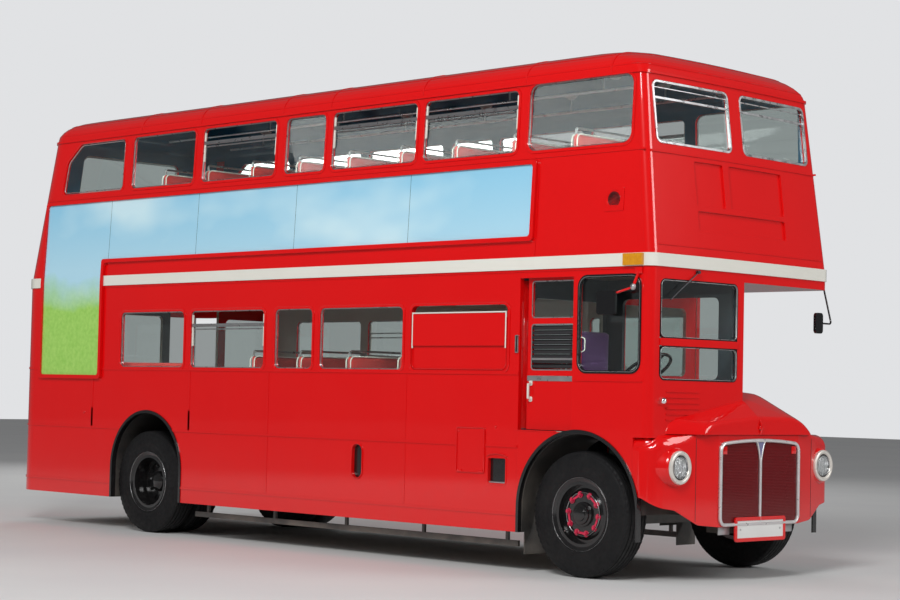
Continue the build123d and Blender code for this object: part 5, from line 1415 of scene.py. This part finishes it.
def step_cloth(pad, cap):
    """Blow a pad up with the cloth solver, let no point move further than the cap, and return its mesh."""
    start = [v.co.copy() for v in pad.data.vertices]
    cloth = pad.modifiers.new("air", "CLOTH")
    cloth.settings.use_pressure = True
    cloth.settings.uniform_pressure_force = 4.0
    cloth.settings.effector_weights.gravity = 0.0
    cloth.settings.quality = 4
    cloth.point_cache.frame_start = 1
    cloth.point_cache.frame_end = CLOTH_STEPS
    scene = bpy.context.scene
    for i in range(1, CLOTH_STEPS + 1):
        scene.frame_set(i)
    mesh = evaluated_mesh(pad)
    for v, old in zip(mesh.vertices, start):
        away = v.co - old
        if away.length > cap:
            v.co = old + away * (cap / away.length)
    scene.frame_set(1)
    return mesh


def plump(size, corner, cap):
    """A pad that fills a box from the origin: rounded, remeshed, then blown up to its box."""
    made = bmesh.new()
    inside = PAD_ROOM + cap * 0.6
    block(made, [inside] * 3, [s - inside for s in size], corner, 3)
    pad = linked_object("pad", made)
    remesh(pad, VOXEL)
    bpy.context.view_layer.update()
    pad.data = evaluated_mesh(pad)
    pad.modifiers.clear()
    shape = step_cloth(pad, cap)
    bpy.data.objects.remove(pad)
    return shape


def place_pad(bm, shape, low, mirrored):
    """Copy a pad's mesh to its place, and its mirror image to the other side."""
    for side in (1, -1) if mirrored else (1,):
        made = bmesh.new()
        made.from_mesh(shape)
        bmesh.ops.translate(made, vec=low, verts=made.verts)
        if side < 0:
            bmesh.ops.scale(made, vec=(1, -1, 1), verts=made.verts)
            bmesh.ops.reverse_faces(made, faces=made.faces)
        add_to(bm, made)


def back_rail(y, out, high):
    """The rail along the top of a seat's back, as points across and up, between its two feet."""
    return ((y + 0.03, high - 0.012), (y + 0.03, high + 0.022), (y + 0.045, high + 0.036),
            (out - 0.045, high + 0.036), (out - 0.03, high + 0.022), (out - 0.03, high - 0.012))


def build_seats():
    """Padded seats of both decks and the benches over the rear wheels."""
    piping = bmesh.new()
    rails = bmesh.new()
    for node, floor, rows, out in (("seat_pads_lower", FLOOR_Z, LOWER_ROWS, LOWER_OUT),
                                   ("seat_pads_upper", UPPER_FLOOR_Z, UPPER_ROWS, UPPER_OUT)):
        bm = bmesh.new()
        cushion = plump((SEAT_D, out - SEAT_IN, PAD_T), 0.022, 0.008)
        back = plump((BACK_T, out - SEAT_IN, BACK_TOP - SEAT_Z + PAD_T), 0.02, 0.007)
        low = floor + SEAT_Z - PAD_T
        high = floor + BACK_TOP
        for x in rows:
            place_pad(bm, cushion, (x, SEAT_IN, low), True)
            place_pad(bm, back, (x - BACK_T, SEAT_IN, low), True)
            for side in (1, -1):
                edge = (side * (SEAT_IN + 0.012), side * (out - 0.012), floor + 0.46, high - 0.014)
                for at in (x - BACK_T + 0.010, x - 0.010):
                    tube(piping, rounded_line(edge, 0.05, across(at), 0.0, 5), 0.006, closed=True)
                rail = [(x - BACK_T / 2, side * y, z) for y, z in back_rail(SEAT_IN, out, high)]
                tube(rails, rail, 0.011, smooth=2)
        if node == "seat_pads_lower":
            add_benches(bm)
        pads = finish_piece(bm, node + "_padded", "seat_cloth", sharp=60)
        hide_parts(node)
    finish_piece(piping, "seat_piping", "cream_paint")
    finish_piece(rails, "seat_back_rails", "silver_trim")


def add_benches(bm):
    """Pads of the two benches that face the gangway over the rear wheels."""
    place_pad(bm, plump((BENCH_LENGTH, 0.45, 0.09), 0.02, 0.007), (BENCH_X, 0.64, BENCH_Z), True)
    place_pad(bm, plump((BENCH_LENGTH, 0.06, 0.52), 0.018, 0.005), (BENCH_X, 1.09, BENCH_Z), True)


def build_driver_seat():
    """The driver's padded seat in purple cloth."""
    bm = bmesh.new()
    x = FRONT_AXLE_X - 0.33
    y = -0.86
    z = 1.425
    place_pad(bm, plump((0.42, 0.46, 0.10), 0.022, 0.009), (x, y, z), False)
    place_pad(bm, plump((BACK_T, 0.46, 0.62), 0.02, 0.008), (x - BACK_T, y, z), False)
    pads = finish_piece(bm, "driver_seat_padded", "seat_cloth", sharp=60)
    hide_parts("driver_seat_pads")


# Inside


def build_ceiling_lamps():
    """Round lamps in two rows under both ceilings."""
    bm = bmesh.new()
    dome = [(0.001, 0.0), (0.001, 0.062), (0.010, 0.066), (0.016, 0.056), (0.026, 0.048), (0.036, 0.030),
            (0.040, 0.0)]
    for ceiling, y, first, step, count in ((2.5, 0.62, -1.2, 0.95, 6), (4.262, 0.33, -0.4, 1.1, 7)):
        for i in range(count):
            x = FRONT_AXLE_X + first - step * i
            for side in (-1, 1):
                place = Matrix.Translation((x, side * y, ceiling)) @ Matrix.Rotation(-math.pi / 2, 4, "X")
                spun(bm, dome, place, 24, closed=False)
    finish_piece(bm, "ceiling_lamps", "plate_white")


def build_inner_rails():
    """Grab rails along both ceilings, on short hangers."""
    bm = bmesh.new()
    for y, z, x0, x1, hanger in ((0.36, 2.40, -6.4, -0.9, 0.098), (0.42, 4.12, -6.6, 0.1, 0.13)):
        for side in (-1, 1):
            a = Vector((FRONT_AXLE_X + x0, side * y, z))
            b = Vector((FRONT_AXLE_X + x1, side * y, z))
            tube(bm, [a, b], 0.0125, smooth=2)
            for i in range(6):
                at = a.lerp(b, (i + 0.5) / 6)
                tube(bm, [at, at + Vector((0, 0, hanger))], 0.009)
    finish_piece(bm, "ceiling_rails", "silver_trim")


def build_window_cappings():
    """Cream cappings under the saloon windows, and the inner handles of the cab and its door."""
    bm = bmesh.new()
    x = FRONT_AXLE_X
    for side in (-1, 1):
        for x0, x1, z in ((x - 6.5, x - 0.72, SILL - 0.04), (REAR_SEAM_X + 0.2, x + 0.4, UPPER_SILL - 0.04)):
            edge = side * (side_skin(z) - 0.046)
            y0, y1 = sorted((edge, edge - side * 0.022))
            block(bm, (x0, y0, z - 0.02), (x1, y1, z + 0.02), 0.006)
    finish_piece(bm, "window_cappings", "cream_paint")
    handle = bmesh.new()
    grip = ((0.018, -1.189, 1.84), (0.042, -1.184, 1.85), (0.048, -1.183, 1.865), (0.048, -1.183, 1.935),
            (0.042, -1.184, 1.95), (0.018, -1.189, 1.96))
    tube(handle, [(x + at, y, z) for at, y, z in grip], 0.005, smooth=2)
    finish_piece(handle, "cab_inner_handle", "cream_paint")
    pull = bmesh.new()
    box = (DOOR_FRONT_X - 0.135, DOOR_FRONT_X - 0.085, 1.82, 1.99)
    tube(pull, rounded_line(box, 0.014, door_face, 1.118 - DOOR_Y), 0.007, closed=True)
    finish_piece(pull, "door_inner_pull", "cream_paint", "sliding_door")


def build_mirror_arms():
    """Red sleeves on the offside mirror's bracket and arm, and its pale joint."""
    red = bmesh.new()
    x = FRONT_AXLE_X
    tube(red, [(x + 0.64, -1.221, 2.488), (x + 0.617, -1.268, 2.36)], 0.0125, smooth=2)
    tube(red, [(x + 0.605, -1.27, 2.350), (x + 0.43, -1.276, 2.305)], 0.0095, smooth=2)
    block(red, (x + 0.605, -1.234, 2.462), (x + 0.675, -1.218, 2.516), 0.004)
    finish_piece(red, "mirror_sleeves", "red_paint")
    pale = bmesh.new()
    bmesh.ops.create_uvsphere(pale, u_segments=20, v_segments=12, radius=0.024)
    bmesh.ops.scale(pale, vec=(1.0, 0.9, 1.15), verts=pale.verts)
    bmesh.ops.translate(pale, vec=(x + 0.617, -1.27, 2.355), verts=pale.verts)
    finish_piece(pale, "mirror_joint", "seat_steel")


build_window_surrounds()
build_drop_rails()
build_quarter_lines()
build_front_windows()
build_cab_windows()
build_door_trim()
build_jamb_handle()
build_tyres()
build_wheel_trim()
build_bonnet()
build_round_wings()
build_grille()
build_headlamps()
build_plate_surround()
build_bonnet_catch()
build_roof_ridges()
build_body_seams()
build_dark_seams()
build_rivets()
build_side_details()
build_seats()
build_driver_seat()
build_ceiling_lamps()
build_inner_rails()
build_window_cappings()
build_mirror_arms()


# The room: a pale floor, soft lamps and the camera

# Name, place, width, power, and whether it shows in reflections
LAMPS = [("key", (9, -12, 11), 5.0, 1450, True), ("side", (-9, -13, 8), 8.0, 700, False),
         ("front", (15, 5, 7), 6.0, 600, True), ("behind", (-13, 11, 8), 8.0, 700, False)]
LAMP_AIM = Vector((0, 0, 1.8))


def build_room():
    bm = bmesh.new()
    bmesh.ops.create_grid(bm, x_segments=1, y_segments=1, size=60)
    floor = linked_object("floor", bm)
    m, t, shader = material("floor_pale", 0.7)
    tone = ramp(t, noise(t, object_place(t), 0.4, 4.0), 0.3, 0.7)
    set_inputs(t, shader, {"Base Color": blend_colour(t, tone, grey(0.66), grey(0.7, -0.01))})
    floor.data.materials.append(m)

    world = bpy.data.worlds.new("studio")
    bpy.context.scene.world = world
    world.use_nodes = True
    t = world.node_tree
    path = put(t, "LightPath").outputs
    seen = maths(t, "MAXIMUM", path["Is Camera Ray"], path["Is Transmission Ray"])
    light = ramp(t, seen, 0.0, 1.0, 0.27, 0.8)
    shiny = ramp(t, path["Is Glossy Ray"], 0.0, 1.0, 1.0, 0.45)
    set_inputs(t, t.nodes["Background"], {"Color": (0.94, 0.95, 0.97, 1),
                                          "Strength": maths(t, "MULTIPLY", light, shiny)})

    for name, place, size, power, shine in LAMPS:
        lamp = bpy.data.objects.new(name, bpy.data.lights.new(name, "AREA"))
        lamp.data.shape = "DISK"
        lamp.data.size = size
        lamp.data.energy = power
        lamp.visible_glossy = shine
        lamp.location = place
        lamp.rotation_euler = (LAMP_AIM - Vector(place)).to_track_quat("-Z", "Y").to_euler()
        bpy.context.collection.objects.link(lamp)
    bpy.context.scene.view_settings.view_transform = "Standard"


def build_camera():
    yaw, pitch, roll = (math.radians(a) for a in (YAW, PITCH, ROLL))
    look = Vector((-math.cos(yaw) * math.cos(pitch), math.sin(yaw) * math.cos(pitch), math.sin(pitch)))
    right = look.cross(Vector((0, 0, 1))).normalized()
    up = right.cross(look)
    right, up = (math.cos(roll) * right + math.sin(roll) * up, math.cos(roll) * up - math.sin(roll) * right)
    cam = bpy.data.objects.new("camera", bpy.data.cameras.new("camera"))
    cam.data.lens = LENS
    cam.data.sensor_width = 36
    cam.data.sensor_fit = "HORIZONTAL"
    cam.matrix_world = Matrix.Translation(CAMERA) @ Matrix((right, up, -look)).transposed().to_4x4()
    bpy.context.collection.objects.link(cam)
    bpy.context.scene.camera = cam


build_room()
build_camera()
